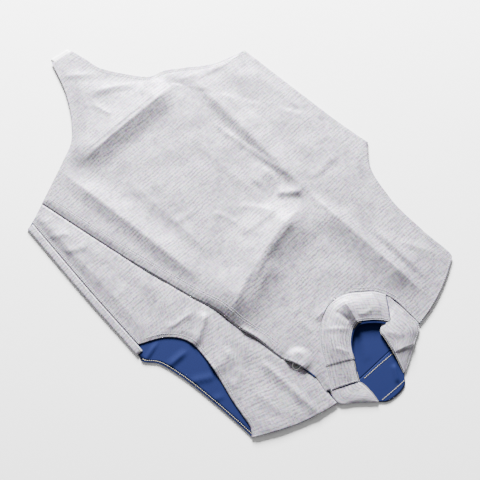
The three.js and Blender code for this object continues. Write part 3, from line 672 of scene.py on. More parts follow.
def front_shares(row):
    """Columns of the front: they follow the long crease, the middle and the step over the flap's layers."""
    width = row["lx"] - row["rx"]
    guides = [
        0 * width,
        crossing(row, RIGHT_CREASE, *GUIDE_SPANS["long"]),
        crossing(row, MIDDLE, *GUIDE_SPANS["middle"]),
        np.maximum(1 - FLAP_RAMP / width, GUIDE_SPANS["step_foot"]),
        np.maximum(1 - (FLAP_LEVEL + STEP_MARGIN) / width, GUIDE_SPANS["step_top"]),
        0 * width + 1,
    ]
    return guided_shares(np.stack(guides, axis=1), FRONT_COLUMNS)


FLAP_EDGE_X = np.concatenate([FRONT_BODY["lx"], FRONT_CHEST["lx"][1:], FRONT_NECK_END["lx"][1:]])
FLAP_EDGE_Y = np.concatenate([FRONT_BODY["ly"], FRONT_CHEST["ly"][1:], FRONT_NECK_END["ly"][1:]])


def flap_points(y, inset):
    """Points of the flap's edge at heights up the garment, moved in square to the edge by a distance."""
    y = np.asarray(y, float)
    i = clamp(np.searchsorted(FLAP_EDGE_Y, y, side="right"), 1, len(FLAP_EDGE_Y) - 1)
    dx = FLAP_EDGE_X[i] - FLAP_EDGE_X[i - 1]
    dy = FLAP_EDGE_Y[i] - FLAP_EDGE_Y[i - 1]
    length = np.hypot(dx, dy)
    t = clamp((y - FLAP_EDGE_Y[i - 1]) / dy, 0, 1)
    return mix(FLAP_EDGE_X[i - 1], FLAP_EDGE_X[i], t) - dy / length * inset, y + dx / length * inset


SLIDER_X, SLIDER_Y = flap_points(SLIDER["y"], SLIDER["inset"] + SLIDER["width"] / 2)


def slider_bump(x, y):
    """Bump of the layers over the slider: level on top and smooth all round."""
    away = np.hypot(x - SLIDER_X, y - SLIDER_Y)
    return SLIDER["bump"] * smooth(SLIDER["reach"], SLIDER["reach"] * SLIDER["level"], away)


def left_height(x, y):
    """Height of the middle of the left front, which the layers over it follow."""
    return FRONT_Z + folds_at(LEFT_FOLDS, x, y)


def flap_droop(y):
    """How far the flap's edge hangs down onto the left front, from the hem to the neck."""
    return np.interp(y, FLAP_DROOP["y"], FLAP_DROOP["drop"])


def front_height(x, y, from_right, from_flap, from_top=PILLOW_REACH):
    """Height of the front: its folds, its soft rise off the lining, and the step over the flap's layers."""
    side = mix(HEM_REACH["reach"], PILLOW_REACH, smooth(HEM_REACH["low"], HEM_REACH["high"], y))
    edge = smooth(0, side, from_right) * smooth(0, PILLOW_REACH, y) * smooth(0, PILLOW_REACH, from_top)
    foot = smooth(*FLAP_FOOT, y)
    edge = edge * mix(smooth(0, PILLOW_REACH, from_flap), 1, foot)
    flap = smooth(FLAP_RAMP, FLAP_LEVEL, from_flap) * foot
    point = STRAP_END_DROP * (1 - smooth(0, STRAP_END_REACH, y))
    small = folds_at(FRONT_CREASES, x, y) + slack_at(x, y, FRONT_SEED)
    small = small * (1 - FLAP_FLATTENING["edge"] * flap * smooth(FLAP_EDGE_REACH * 2, 0, from_flap))
    small = small * (1 - FLAP_FLATTENING["flap"] * flap)
    raised = PILLOW * (1 - flap) + folds_at(FRONT_FOLDS, x, y) + small
    droop = foot * flap_droop(y) * smooth(FLAP_EDGE_REACH, 0, from_flap)
    return left_height(x, y) - point + edge * raised + flap * (FLAP_RISE + slider_bump(x, y)) - droop


def patch(x, y, z, u=None, v=None):
    """A grid of points with its cloth coordinates, which are plan mm unless they are given."""
    x, y, z = np.broadcast_arrays(x, y, z)
    u = x if u is None else np.broadcast_to(u, x.shape)
    v = y if v is None else np.broadcast_to(v, x.shape)
    return np.stack([x, y, z], axis=-1), np.stack([u, v], axis=-1)


def wrap_patch(row, side, start_z):
    """The turn of the cloth round a side fold and the strip beyond it: a half circle, then a level run."""
    edge_x = row["rx"] if side < 0 else row["lx"]
    edge_y = row["ry"] if side < 0 else row["ly"]
    end_z = FRONT_Z + BACK_Z - start_z
    angle = np.linspace(0, np.pi, FOLD_STEPS + 1)
    run = np.linspace(0, WRAP, WRAP_ROWS)[1:]
    out = np.concatenate([FOLD_RADIUS * np.sin(angle), -run])
    z = np.concatenate([mix(start_z, end_z, (1 - np.cos(angle)) / 2), np.full(run.shape, end_z)])
    travel = np.concatenate([FOLD_RADIUS * angle, FOLD_RADIUS * np.pi + run])
    if side < 0:
        out, z, travel = out[::-1], z[::-1], travel[::-1]
    x = edge_x[:, None] + side * out
    return patch(x, edge_y[:, None], z, edge_x[:, None] + side * travel)


def joined(patches):
    """All patches as one list of points, of faces and of cloth coordinates."""
    points, faces, maps, first = [], [], [], 0
    for grid, cloth in patches:
        rows, columns = grid.shape[:2]
        number = first + np.arange(rows * columns).reshape(rows, columns)
        quads = np.stack([number[:-1, :-1], number[:-1, 1:], number[1:, 1:], number[1:, :-1]], axis=-1)
        points.append(grid.reshape(-1, 3))
        maps.append(cloth.reshape(-1, 2))
        faces.append(quads.reshape(-1, 4))
        first += rows * columns
    return np.concatenate(points), np.concatenate(faces), np.concatenate(maps)


def cloth_object(name, patches, thickness):
    """A piece of cloth: its patches joined where their points meet, then given its thickness evenly."""
    points, faces, maps = joined(patches)
    piece = mesh_object(name, (points - CENTRE) * MM, faces)
    layer = piece.data.uv_layers.new(name="cloth")
    layer.data.foreach_set("uv", (maps[faces.reshape(-1)] * MM).reshape(-1))
    mesh = bmesh.new()
    mesh.from_mesh(piece.data)
    bmesh.ops.remove_doubles(mesh, verts=mesh.verts, dist=JOIN_REACH * MM)
    mesh.to_mesh(piece.data)
    mesh.free()
    wall = piece.modifiers.new("cloth wall", "SOLIDIFY")
    wall.thickness = thickness * MM
    wall.offset = 0
    return piece


def mesh_object(name, points, faces):
    """A smooth mesh object at the origin, from points in metres and faces of point numbers."""
    mesh = bpy.data.meshes.new(name)
    mesh.from_pydata(points.tolist(), [], [list(face) for face in faces])
    mesh.polygons.foreach_set("use_smooth", [True] * len(mesh.polygons))
    piece = bpy.data.objects.new(name, mesh)
    bpy.context.scene.collection.objects.link(piece)
    return piece


def finish_piece(piece, material, nodes=(), body=BODY):
    """Gives a piece its material and its body, and hides the solids that it stands for."""
    piece.data.materials.append(material)
    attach(piece, body)
    if nodes:
        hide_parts(*nodes)
    return piece


def linear(hex_colour):
    """An sRGB hex colour as linear red, green, blue and alpha."""
    srgb = np.array([int(hex_colour[i:i + 2], 16) for i in (1, 3, 5)]) / 255
    return (*np.where(srgb <= 0.04045, srgb / 12.92, ((srgb + 0.055) / 1.055) ** 2.4).tolist(), 1.0)


def add_node(tree, kind, inputs=(), **settings):
    """Adds a shader node with its settings; inputs are values or sockets by name, of those in use."""
    node = tree.nodes.new(kind)
    for name, value in settings.items():
        setattr(node, name, value)
    for name, value in dict(inputs).items():
        socket = next(one for one in node.inputs if one.name == name and one.enabled)
        if isinstance(value, bpy.types.NodeSocket):
            tree.links.new(value, socket)
        else:
            socket.default_value = value
    return node


def output(node, name="Result"):
    """The node's output of that name that is in use."""
    return next(one for one in node.outputs if one.name == name and one.enabled)


def new_material(name):
    """An empty material with its principled shader."""
    material = bpy.data.materials.new(name)
    material.use_nodes = True
    tree = material.node_tree
    tree.nodes.clear()
    shader = add_node(tree, "ShaderNodeBsdfPrincipled")
    add_node(tree, "ShaderNodeOutputMaterial", {"Surface": shader.outputs["BSDF"]})
    return material, tree, shader


def dress(tree, shader, colour, height, bump, gloss):
    """Links a colour and a relief to a shader. bump is its strength and depth in mm, gloss is the roughness
    and the share of metal."""
    strength, depth = bump
    depth = depth * MM
    relief = add_node(tree, "ShaderNodeBump", {"Height": height, "Strength": strength, "Distance": depth})
    tree.links.new(colour, shader.inputs["Base Color"])
    tree.links.new(relief.outputs["Normal"], shader.inputs["Normal"])
    shader.inputs["Roughness"].default_value, shader.inputs["Metallic"].default_value = gloss


def metal_thread_cloth(light, dark):
    """Lame: polyester woven with stainless steel thread. Its look comes from four things on the cloth's own
    coordinates: cross ribs that fade in patches, long streaks of the metal weft, shorter streaks of the warp
    across them, and fine bluish, pinkish and yellowish glints. The gloss is a soft satin. Real ribs are
    1 mm apart; they are drawn 5.4 mm apart, and streaks and glints coarser to match, so that all show."""
    turns = 2 * math.pi / WAVE_TURNS / bpy.context.scene.lame.rib_pitch
    material, tree, shader = new_material("metal_thread_cloth")
    cloth = add_node(tree, "ShaderNodeUVMap", uv_map="cloth").outputs["UV"]

    # Ribs on slightly swayed coordinates, faded to an even tone in patches
    sway = add_node(tree, "ShaderNodeTexNoise", {"Vector": cloth, "Scale": 26.0, "Detail": 2.0})
    swayed = output(add_node(
        tree, "ShaderNodeMix", {"Factor": 0.006, "A": cloth, "B": sway.outputs["Color"]}, data_type="VECTOR"
    ))
    ribs = add_node(
        tree, "ShaderNodeTexWave",
        {"Vector": swayed, "Scale": turns, "Distortion": 5.0, "Detail": 3.0, "Detail Scale": 4.0},
        wave_type="BANDS", bands_direction="Y",
    )
    patches = add_node(tree, "ShaderNodeTexNoise", {"Vector": cloth, "Scale": 21.0, "Detail": 3.0})
    shown = add_node(
        tree, "ShaderNodeMapRange",
        {"Value": patches.outputs["Fac"], "From Min": 0.38, "From Max": 0.62, "To Min": 0.15, "To Max": 1.0},
    )
    faded = add_node(
        tree, "ShaderNodeMix", {"Factor": output(shown), "A": 0.55, "B": ribs.outputs["Fac"]},
        data_type="FLOAT",
    )

    # Streaks of the weft and the warp: noise that is drawn out along each thread
    threads = []
    for scale in ((44, 400, 1), (430, 62, 1)):
        place = add_node(tree, "ShaderNodeMapping", {"Vector": swayed, "Scale": scale}).outputs["Vector"]
        streak = add_node(tree, "ShaderNodeTexNoise", {"Vector": place, "Scale": 1.0, "Detail": 3.0})
        threads.append(streak.outputs["Fac"])
    streaks = add_node(
        tree, "ShaderNodeMix", {"Factor": 0.42, "A": threads[0], "B": threads[1]}, data_type="FLOAT"
    )
    weave = output(add_node(
        tree, "ShaderNodeMix", {"Factor": 0.8, "A": output(faded), "B": output(streaks)}, data_type="FLOAT"
    ))
    mottled = add_node(
        tree, "ShaderNodeMix", {"Factor": 0.18, "A": weave, "B": patches.outputs["Fac"]}, data_type="FLOAT"
    )

    # Colour from dark to light threads, with the glints laid over it
    tint = add_node(tree, "ShaderNodeValToRGB", {"Fac": output(mottled)})
    for stop, position, tone in zip(tint.color_ramp.elements, (0.405, 0.58), (dark, light)):
        stop.position = position
        stop.color = tone
    glints = add_node(tree, "ShaderNodeTexNoise", {"Vector": cloth, "Scale": 300.0, "Detail": 1.0})
    hues = add_node(
        tree, "ShaderNodeMix", {"Factor": 0.62, "A": tint.outputs["Color"], "B": glints.outputs["Color"]},
        data_type="RGBA", blend_type="SOFT_LIGHT",
    )
    dress(tree, shader, output(hues), weave, (0.4, 0.4), (0.55, 0.25))
    return material


def grained(name, shade, colour, roughness, metallic, noise, bump, on_cloth=False):
    """A finish with a fine uneven grain: noise mixes its shade and colour, and raises it a little. noise is
    its cells a metre and its detail, on the cloth's own coordinates or on the object's."""
    material, tree, shader = new_material(name)
    if on_cloth:
        place = add_node(tree, "ShaderNodeUVMap", uv_map="cloth").outputs["UV"]
    else:
        place = add_node(tree, "ShaderNodeTexCoord").outputs["Object"]
    cells, detail = noise
    grain = add_node(tree, "ShaderNodeTexNoise", {"Vector": place, "Scale": cells, "Detail": detail})
    tint = add_node(tree, "ShaderNodeValToRGB", {"Fac": grain.outputs["Fac"]})
    for stop, position, tone in zip(tint.color_ramp.elements, GRAIN_SPAN, (shade, colour)):
        stop.position = position
        stop.color = tone
    dress(tree, shader, tint.outputs["Color"], grain.outputs["Fac"], bump, (roughness, metallic))
    return material, shader


def blue_cotton(colour, shade):
    """Lining cotton: a plain woven royal blue cloth, matt, its thread grain of 0.5 mm drawn 1.2 mm wide."""
    material, shader = grained("blue_cotton", shade, colour, 0.85, 0.0, (900.0, 3.0), (0.2, 0.3), True)
    shader.inputs["Specular IOR Level"].default_value = 0.12
    return material


def plain_finish(name, colour, shade, roughness, metallic, grain_mm):
    """A plain finish of two near colours, with its grain at the given size."""
    noise = (1 / (grain_mm * MM), 2.0)
    return grained(name, shade, colour, roughness, metallic, noise, FINISH_BUMP)[0]


def material_of(name):
    """The material of that name, which is made when it is first asked for."""
    made = bpy.data.materials.get(name)
    if made:
        return made
    sizes = bpy.context.scene.lame
    if name == "metal_thread_cloth":
        return metal_thread_cloth(tuple(sizes.cloth_light), tuple(sizes.cloth_dark))
    if name == "blue_cotton":
        return blue_cotton(tuple(sizes.lining), tuple(sizes.lining_shade))
    colour, shade, *rest = FINISHES[name]
    return plain_finish(name, linear(colour), linear(shade), *rest)


def lay_cloth(name, patches, with_pieces=()):
    kind, solid, flat, rests_on = SHEETS[name]
    thickness, material, slot = cloth_of(kind)
    piece = finish_piece(cloth_object(name, patches, thickness), material, [solid])


def inside_line(line, distance):
    """A plan line moved to its right by a distance, as seen along the line."""
    along = np.gradient(line, axis=0)
    along = along / np.linalg.norm(along, axis=1, keepdims=True)
    return line + distance * np.stack([along[:, 1], -along[:, 0]], axis=1)


def ends_of(rows, side, step=MEDIUM):
    """Plan line along one end of a table's sections, side -1 for the wearer's right and 1 for the left."""
    row = refined(rows, step)
    return np.stack([row["rx"], row["ry"]] if side < 0 else [row["lx"], row["ly"]], axis=1)


def stitch_places(line, pitch):
    """Middles and directions of the stitches along a plan line, evenly spaced."""
    steps = np.linalg.norm(np.diff(line, axis=0), axis=1)
    travel = np.concatenate([[0], np.cumsum(steps)])
    count = max(1, int(travel[-1] / pitch))
    at = (np.arange(count) + 0.5) / count * travel[-1]
    along = np.diff(line, axis=0)[clamp(np.searchsorted(travel, at) - 1, 0, len(steps) - 1)]
    middle = np.stack([np.interp(at, travel, line[:, 0]), np.interp(at, travel, line[:, 1])], axis=1)
    return middle, along / np.linalg.norm(along, axis=1, keepdims=True)


def sew(name, lines, on, thread="grey_thread", width=1.0):
    """Rows of stitches along plan lines, on top of the given patches: one spindle of thread for each stitch.
    Each lies where a ray cast down from above meets the cloth, square to the cloth's normal there."""
    sizes = bpy.context.scene.lame
    pitch, radius = sizes.stitch_pitch / MM, sizes.thread_width / MM / 2 * width
    points, faces, _ = joined(on)
    cloth = BVHTree.FromPolygons(points.tolist(), faces.tolist())
    places = [stitch_places(line, pitch) for line in lines]
    middle = np.concatenate([one for one, _ in places])
    along = np.concatenate([one for _, one in places])
    down = Vector((0, 0, -1))
    hits = [cloth.ray_cast(Vector((x, y, RAY_START)), down)[:2] for x, y in middle]
    met = np.array([hit is not None for hit, _ in hits])
    place = np.array([hit for hit, _ in hits if hit is not None])
    up = np.array([normal for _, normal in hits if normal is not None])
    up = up * np.sign(up[:, 2:])
    flat = np.column_stack([along[met], np.zeros(met.sum())])
    run = flat - up * (flat * up).sum(axis=1, keepdims=True)
    run = run / np.linalg.norm(run, axis=1, keepdims=True)
    beside = np.cross(up, run)
    place = place + up * (sizes.cloth_shell / MM / 2)
    rings, sides = len(STITCH_SHAPE), STITCH["sides"]
    t, thick = STITCH_SHAPE.T[:, None, :, None, None]
    angle = (np.arange(sides) * 2 * np.pi / sides)[:, None]
    place, run, beside, up = (one[:, None, None] for one in (place, run, beside, up))
    circle = beside * np.cos(angle) + up * np.sin(angle)
    tube = place + run * t * pitch * STITCH["share"] + circle * thick * radius
    number = np.arange(len(place) * rings * sides).reshape(len(place), rings, sides)
    beside_number = np.roll(number, -1, axis=2)
    quads = np.stack([number[:, :-1], beside_number[:, :-1], beside_number[:, 1:], number[:, 1:]], axis=-1)
    piece = mesh_object(name, (tube.reshape(-1, 3) - CENTRE) * MM, quads.reshape(-1, 4))
    return finish_piece(piece, material_of(thread))


def edging(name, lines, radius, finish="grey_thread", slot=None):
    """Rolled or bound edges: a thin tube along each line of points, with closed ends."""
    points, faces, first = [], [], 0
    for line in lines:
        tube, quads = round_tube(line, radius, TUBE_SIDES, False)
        points.append(tube)
        faces += (quads + first).tolist()
        cap = first + np.arange(TUBE_SIDES)
        faces += [cap[::-1].tolist(), (cap + len(tube) - TUBE_SIDES).tolist()]
        first += len(tube)
    piece = mesh_object(name, (np.concatenate(points) - CENTRE) * MM, faces)
    return finish_piece(piece, material_of(finish))


def shoulder_arc(y, share, from_top):
    """Bows the last rows outwards, so that the shoulder line is an arc."""
    return y + SHOULDER_BULGE * smooth(SHOULDER_REACH, 0, from_top) * 4 * share * (1 - share)


def front_patches():
    """The front: legs, body and chest, the right shoulder, the narrow neck end, then its side fold."""
    out = []
    for rows in (FRONT_LEGS, FRONT_BODY, FRONT_CHEST):
        row = refined(rows, FINE)
        x, y, from_right, from_flap = across(row, front_shares(row))
        out.append(patch(x, y, front_height(x, y, from_right, from_flap)))
    neck_row = {name: values[-1:] for name, values in FRONT_CHEST.items()}
    neck = front_shares(neck_row)[0]
    at_neck = FRONT_COLUMNS[0] + FRONT_COLUMNS[1]
    split = mix(neck_row["rx"][0], neck_row["lx"][0], neck[at_neck])
    shoulder = {name: values.copy() for name, values in FRONT_SHOULDER.items()}
    shoulder["lx"][0] = split
    shares = neck[:at_neck + 1] / neck[at_neck]
    row = refined(shoulder, FINE)
    x, y, from_right, _ = across(row, shares)
    from_top = (row["ry"][-1] - row["ry"])[:, None]
    z = front_height(x, y, from_right, FLAP_RAMP, from_top)
    out.append(patch(x, shoulder_arc(y, shares, from_top), z))
    neck_end = {name: values.copy() for name, values in FRONT_NECK_END.items()}
    neck_end["rx"][0] = split
    shares = (neck[at_neck:] - neck[at_neck]) / (1 - neck[at_neck])
    row = refined(neck_end, FINE)
    x, y, _, from_flap = across(row, shares)
    out.append(patch(x, y, front_height(x, y, PILLOW_REACH, from_flap)))
    out.append(wrap_patch(refined(FRONT_BODY, FINE), -1, FRONT_Z))
    return out


def left_patches():
    """The left front: body, then chest up to its shoulder arc."""
    shares = np.linspace(0, 1, LEFT_COLUMNS)
    row = refined(LEFT_BODY, FINE)
    x, y, _, from_side = across(row, shares)
    out = [patch(x, y, left_surface(x, y, from_side), *turned_cloth(x, y))]
    row = refined(LEFT_CHEST, FINE)
    x, y, _, from_side = across(row, shares)
    from_top = (row["ly"][-1] - row["ly"])[:, None]
    z = left_surface(x, y, np.minimum(from_side, from_top + LEFT_SLACK_EDGE / 2))
    out.append(patch(x, shoulder_arc(y, shares, from_top), z, *turned_cloth(x, y)))
    return out


def turned_cloth(x, y):
    """Cloth coordinates of the left front, whose ribs turn towards the shoulder."""
    turn = RIB_TURN["angle"] * smooth(RIB_TURN["low"], RIB_TURN["high"], y)
    beside = x - RIB_TURN["about"]
    return beside * np.cos(turn) + y * np.sin(turn), y * np.cos(turn) - beside * np.sin(turn)


def left_surface(x, y, from_side):
    """The left front with its small creases and slack, from clear of the flap up to its seams."""
    edge_x = np.interp(y, FLAP_EDGE_Y, FLAP_EDGE_X)
    ends = smooth(0, LEFT_SLACK_EDGE, from_side)
    shown = smooth(0, LEFT_SLACK_START, x - edge_x) * ends
    lip = FLAP_LIP["rise"] * smooth(0, FLAP_LIP["reach"], x - edge_x) * ends
    small = folds_at(LEFT_CREASES, x, y) + slack_at(x, y, LEFT_SEED) + SLACK["wide"] / 2
    return left_height(x, y) + shown * small + lip


def back_grid(rows, step, z, inset, is_chest, folds=()):
    """Rows of the back, the last of them raised to the shoulders and neck seam; inset draws the edges in."""
    row = refined(rows, step)
    row["rx"] = row["rx"] + inset
    row["lx"] = row["lx"] - inset
    x, y, _, _ = across(row, np.linspace(0, 1, BACK_COLUMNS))
    if is_chest:
        top = {name: values[-1] for name, values in rows.items()}
        near = smooth(BACK_TOP_REACH, 0, top["ry"] - row["ry"])[:, None]
        chord = mix(top["ry"], top["ly"], (x - top["rx"]) / (top["lx"] - top["rx"]))
        y = y + near * (np.interp(x, BACK_TOP["x"], BACK_TOP["y"]) - chord - inset)
    return patch(x, y, z + folds_at(folds, x, y) if folds else z)


def back_patches():
    """The back panel, face down on the floor, with its left edge turned over onto the front."""
    return [
        back_grid(BACK_LEGS, MEDIUM, BACK_Z, 0, False),
        back_grid(BACK_BODY, MEDIUM, BACK_Z, 0, False),
        back_grid(BACK_CHEST, MEDIUM, BACK_Z, 0, True),
        wrap_patch(refined(BACK_BODY, MEDIUM), 1, BACK_Z),
    ]


def lining_patches():
    """The back's blue lining, just inside the panel's edges."""
    legs = {name: values[BLUE_START:] for name, values in BACK_LEGS.items()}
    return [
        back_grid(legs, MEDIUM, LINING_Z, LINING_INSET, False),
        back_grid(BACK_BODY, MEDIUM, LINING_Z, LINING_INSET, False),
        back_grid(BACK_CHEST, FINE, LINING_Z, LINING_INSET, True, BLUE_FOLDS),
    ]


def flap_strip(inset, setback, rise, run, follows):
    """A strip that runs up the garment under the flap, between two distances in from the flap's edge.
    follows is the share of the bump over the slider and of the edge's droop that it takes part in."""
    y = np.arange(run["low"], run["high"] + 1, STRIP_STEP)
    outer = inset[1] + setback * smooth(LAYER_SETBACK["high"], LAYER_SETBACK["low"], y)
    inner_x, inner_y = flap_points(y, inset[0])
    outer_x, outer_y = flap_points(y, outer)
    shares = np.linspace(0, 1, run["columns"])
    from_flap = mix(inset[0], outer[:, None], shares)
    x = mix(inner_x[:, None], outer_x[:, None], shares)
    y = mix(inner_y[:, None], outer_y[:, None], shares)
    droop = flap_droop(y) * smooth(FLAP_EDGE_REACH, 0, from_flap)
    z = left_height(x, y) + rise + follows * slider_bump(x, y) - (follows > 0) * droop
    return [patch(x, y, z)]


def collar_patch(rows, grid, lift=0.0, shares=(0.0, 1.0), folds=(), tab=False):
    """A collar piece between seam and rim, arched between them by half a sine wave, with its folds."""
    step, columns = COLLAR_GRIDS[grid]
    row = refined(rows, step)
    shares = np.linspace(*shares, columns)
    x, y, _, _ = across(row, shares)
    arch = row["arch"][:, None] * np.sin(np.pi * clamp(shares, 0, 1))
    z = mix(row["seam"][:, None], row["rim"][:, None], shares) + arch + lift
    if folds:
        z = z + folds_at(folds, x, y)
    if tab:
        dx, dy = TAB_STEP["x1"] - TAB_STEP["x0"], TAB_STEP["y1"] - TAB_STEP["y0"]
        beyond = ((x - TAB_STEP["x0"]) * dy - (y - TAB_STEP["y0"]) * dx) / math.hypot(dx, dy)
        z = z - TAB_STEP["drop"] * smooth(0, TAB_STEP["width"], beyond)
    travel = np.concatenate([[0], np.cumsum(np.hypot(np.diff(row["rx"]), np.diff(row["ry"])))])
    width = np.hypot(row["lx"] - row["rx"], row["ly"] - row["ry"])
    return [patch(x, y, z, travel[:, None], width[:, None] * shares)]


def rim_line(rows, step, out, lift):
    """Line along a collar piece's rim, moved past it by a distance and up."""
    row = refined(rows, step)
    across_rows = np.stack([row["lx"] - row["rx"], row["ly"] - row["ry"]], axis=1)
    across_rows = across_rows / np.linalg.norm(across_rows, axis=1, keepdims=True)
    plan = np.stack([row["lx"], row["ly"]], axis=1) + out * across_rows
    return np.column_stack([plan, row["rim"] + lift])


def past_rim(grid, distance):
    """Line along a grid's last column, moved on past it by a distance."""
    out = grid[:, -1] - grid[:, -2]
    return grid[:, -1] + distance * out / np.linalg.norm(out, axis=1, keepdims=True)


def rim_tubes(name, front, ends=()):
    """Lines of a tube along the rims of the collar's front, right and left parts, and the tube's radius."""
    radius, of_front, of_right, of_left = COLLAR_TUBES[name]
    lines = [
        past_rim(front, of_front[0]) + [0, 0, of_front[1]],
        rim_line(COLLAR_RIGHT, RIM_STEP, *of_right),
        rim_line(COLLAR_LEFT, RIM_STEP, *of_left),
    ]
    return lines + list(ends), radius


def strap_patch():
    """The end of the crotch strap: level on the floor, then up between the layers."""
    y = np.linspace(STRAP["low"], STRAP["high"], STRAP["rows"])[:, None]
    x = np.linspace(STRAP["right"], STRAP["left"], STRAP["columns"])[None, :]
    z = mix(TAPE / 2, LINING_Z, clamp((y - STRAP["low"]) / STRAP["rise"], 0, 1))
    return [patch(x + y * STRAP["lean"], y + x * STRAP["slant"] + STRAP["shift"], z)]


def round_tube(points, radius, sides, closed):
    """A tube round a line of points, closed in a loop or open: at each one a circle square to the line."""
    points = np.asarray(points)
    if closed:
        along = np.roll(points, -1, axis=0) - np.roll(points, 1, axis=0)
    else:
        along = np.gradient(points, axis=0)
    along = along / np.linalg.norm(along, axis=1, keepdims=True)
    out = np.cross(along, [0.0, 0.0, 1.0])
    out = out / np.linalg.norm(out, axis=1, keepdims=True)
    up = np.cross(out, along)
    angle = np.arange(sides) * 2 * np.pi / sides
    circle = np.cos(angle)[:, None] * out[:, None] + np.sin(angle)[:, None] * up[:, None]
    tube = points[:, None] + radius * circle
    number = np.arange(len(points) * sides).reshape(len(points), sides)
    after = np.roll(number, -1, axis=0)
    faces = np.stack([number, after, np.roll(after, -1, axis=1), np.roll(number, -1, axis=1)], axis=-1)
    faces = faces if closed else faces[:-1]
    return tube.reshape(-1, 3), faces.reshape(-1, 4)


def zip_teeth():
    """Two rows of small blocks that meet along the tape's outer edge: lengths, then widths, set by turns."""
    y = np.arange(TEETH["low"], TEETH["high"], TEETH["pitch"])
    outer = TAPE_INSET[1] + LAYER_SETBACK["tape"] * smooth(LAYER_SETBACK["high"], LAYER_SETBACK["low"], y)
    turns = np.arange(len(y)) % 2
    x0, y0 = flap_points(y, outer - TEETH["overlap"] * (1 - turns) + TEETH["width"])
    x1, y1 = flap_points(y, outer - TEETH["overlap"] * (1 - turns))
    z = left_height(x1, y1) + TAPE_RISE
    half, tall = TEETH["length"] / 2, TEETH["height"] / 2
    corners = [
        np.stack([x, v + up_down * half, z + level * tall], axis=-1)
        for level in (-1, 1) for x, v, up_down in ((x0, y0, -1), (x1, y1, -1), (x1, y1, 1), (x0, y0, 1))
    ]
    points = np.stack(corners, axis=1).reshape(-1, 3)
    block = np.array([[0, 3, 2, 1], [4, 5, 6, 7], [0, 1, 5, 4], [1, 2, 6, 5], [2, 3, 7, 6], [3, 0, 4, 7]])
    return points, (np.arange(len(y))[:, None, None] * len(corners) + block).reshape(-1, 4)


def plate(outline, low, high):
    """A flat plate of the slider: its outline at two heights, with its sides and both faces."""
    outline = np.asarray(outline, float)
    count = len(outline)
    points = np.concatenate([np.column_stack([outline, np.full(count, z)]) for z in (low, high)])
    i = np.arange(count)
    sides = np.stack([i, (i + 1) % count, (i + 1) % count + count, i + count], axis=1)
    return points, sides.tolist() + [i[::-1].tolist(), (i + count).tolist()]


def slider_parts():
    """The slider in its own frame: two plates joined by a post, and the lug that holds the ring."""
    inner, outer = -LUG_SIZE / 2 - SLIDER["width"], -LUG_SIZE / 2 + SLIDER["lap"]
    half, nose, wall = SLIDER["length"] / 2, SLIDER["nose"], SLIDER["plate"]
    middle, mouth = (inner + outer) / 2, half * SLIDER["mouth"]
    outline = [
        (inner + nose / 2, -half), (outer - nose / 2, -half), (outer, -half + nose), (outer, mouth),
        (outer - nose / 3, half), (inner + nose / 3, half), (inner, mouth), (inner, -half + nose),
    ]
    floor, top = -LUG_SIZE / 2, -LUG_SIZE / 2 + SLIDER["height"]
    post, foot = SLIDER["post"], SLIDER["post_foot"]
    between = [[
        (middle - post, post - half), (middle + post, post - half), (middle + foot, -post),
        (middle - foot, -post),
    ]]
    for x in (outer - wall, inner):
        between.append([(x, nose - half), (x + wall, nose - half), (x + wall, mouth), (x, mouth)])
    parts = [plate(outline, floor, floor + wall), plate(outline, top - wall, top)]
    parts += [plate(shape, floor + wall, top - wall) for shape in between]
    angle = np.linspace(0, 2 * np.pi, LUG["sides"] + 1)[:-1]
    ring = np.stack([np.cos(angle), np.sin(angle)], axis=1)
    hole = RING["wire"] / 2 + LUG["play"]
    loops = [(hole, -1), (hole + LUG["wall"], -1), (hole + LUG["wall"], 1), (hole, 1)]
    points = np.stack([
        np.column_stack([ring[:, 0] * r, np.full(len(ring), side * LUG["length"] / 2), ring[:, 1] * r])
        for r, side in loops
    ], axis=1)
    number = np.arange(len(points) * len(loops)).reshape(-1, len(loops))
    after = np.roll(number, -1, axis=0)
    quads = np.stack([number, after, np.roll(after, -1, axis=1), np.roll(number, -1, axis=1)], axis=-1)
    parts.append((points.reshape(-1, 3), quads.reshape(-1, 4).tolist()))
    return parts


def pull_frame():
    """Place and turn of the ring's pivot: x points out of the flap, y runs along the zip."""
    x, y = flap_points(SLIDER["y"], SLIDER["inset"])
    out_x, out_y = flap_points(SLIDER["y"], 0.0)
    turn = math.atan2(out_y - y, out_x - x)
    z = FRONT_Z + CLOTH / 2 + GAP + TAPE + GAP + LUG_SIZE / 2
    return np.array([x, y, z]), turn


def to_pull(points, tilt=0.0):
    """Points of the slider's own frame, tilted about the ring's pivot and moved to their place."""
    place, turn = pull_frame()
    x, y, z = points.T
    x, z = x * math.cos(tilt) + z * math.sin(tilt), z * math.cos(tilt) - x * math.sin(tilt)
    x, y = x * math.cos(turn) - y * math.sin(turn), x * math.sin(turn) + y * math.cos(turn)
    return (np.stack([x, y, z], axis=1) + place - CENTRE) * MM


def ring_path():
    """Loop of the ring's wire: a straight bar through the lug, two short corners and a round bow."""
    half = RING["width"] / 2 - RING["wire"] / 2
    reach = RING["reach"] - RING["wire"]
    corner = RING["corner"]
    bar = np.linspace(-half + corner, half - corner, RING["bar_points"])
    bow = np.linspace(np.pi / 2, -np.pi / 2, RING["bow_points"])
    turn = np.linspace(0, np.pi / 2, RING["corner_points"])[1:-1]
    start = np.stack([corner - corner * np.cos(turn), half - corner + corner * np.sin(turn)], axis=1)
    points = np.concatenate([
        np.stack([0 * bar, bar], axis=1),
        start,
        np.stack([corner + (reach - corner) * np.cos(bow), half * np.sin(bow)], axis=1),
        start[::-1] * [1, -1],
    ])
    return np.column_stack([points, np.zeros(len(points))])


def colour_choice(name, description, default):
    """A colour that the user can change, given as an sRGB hex value."""
    return bpy.props.FloatVectorProperty(
        name=name, description=description, default=linear(default), size=4, subtype="COLOR", min=0, max=1
    )


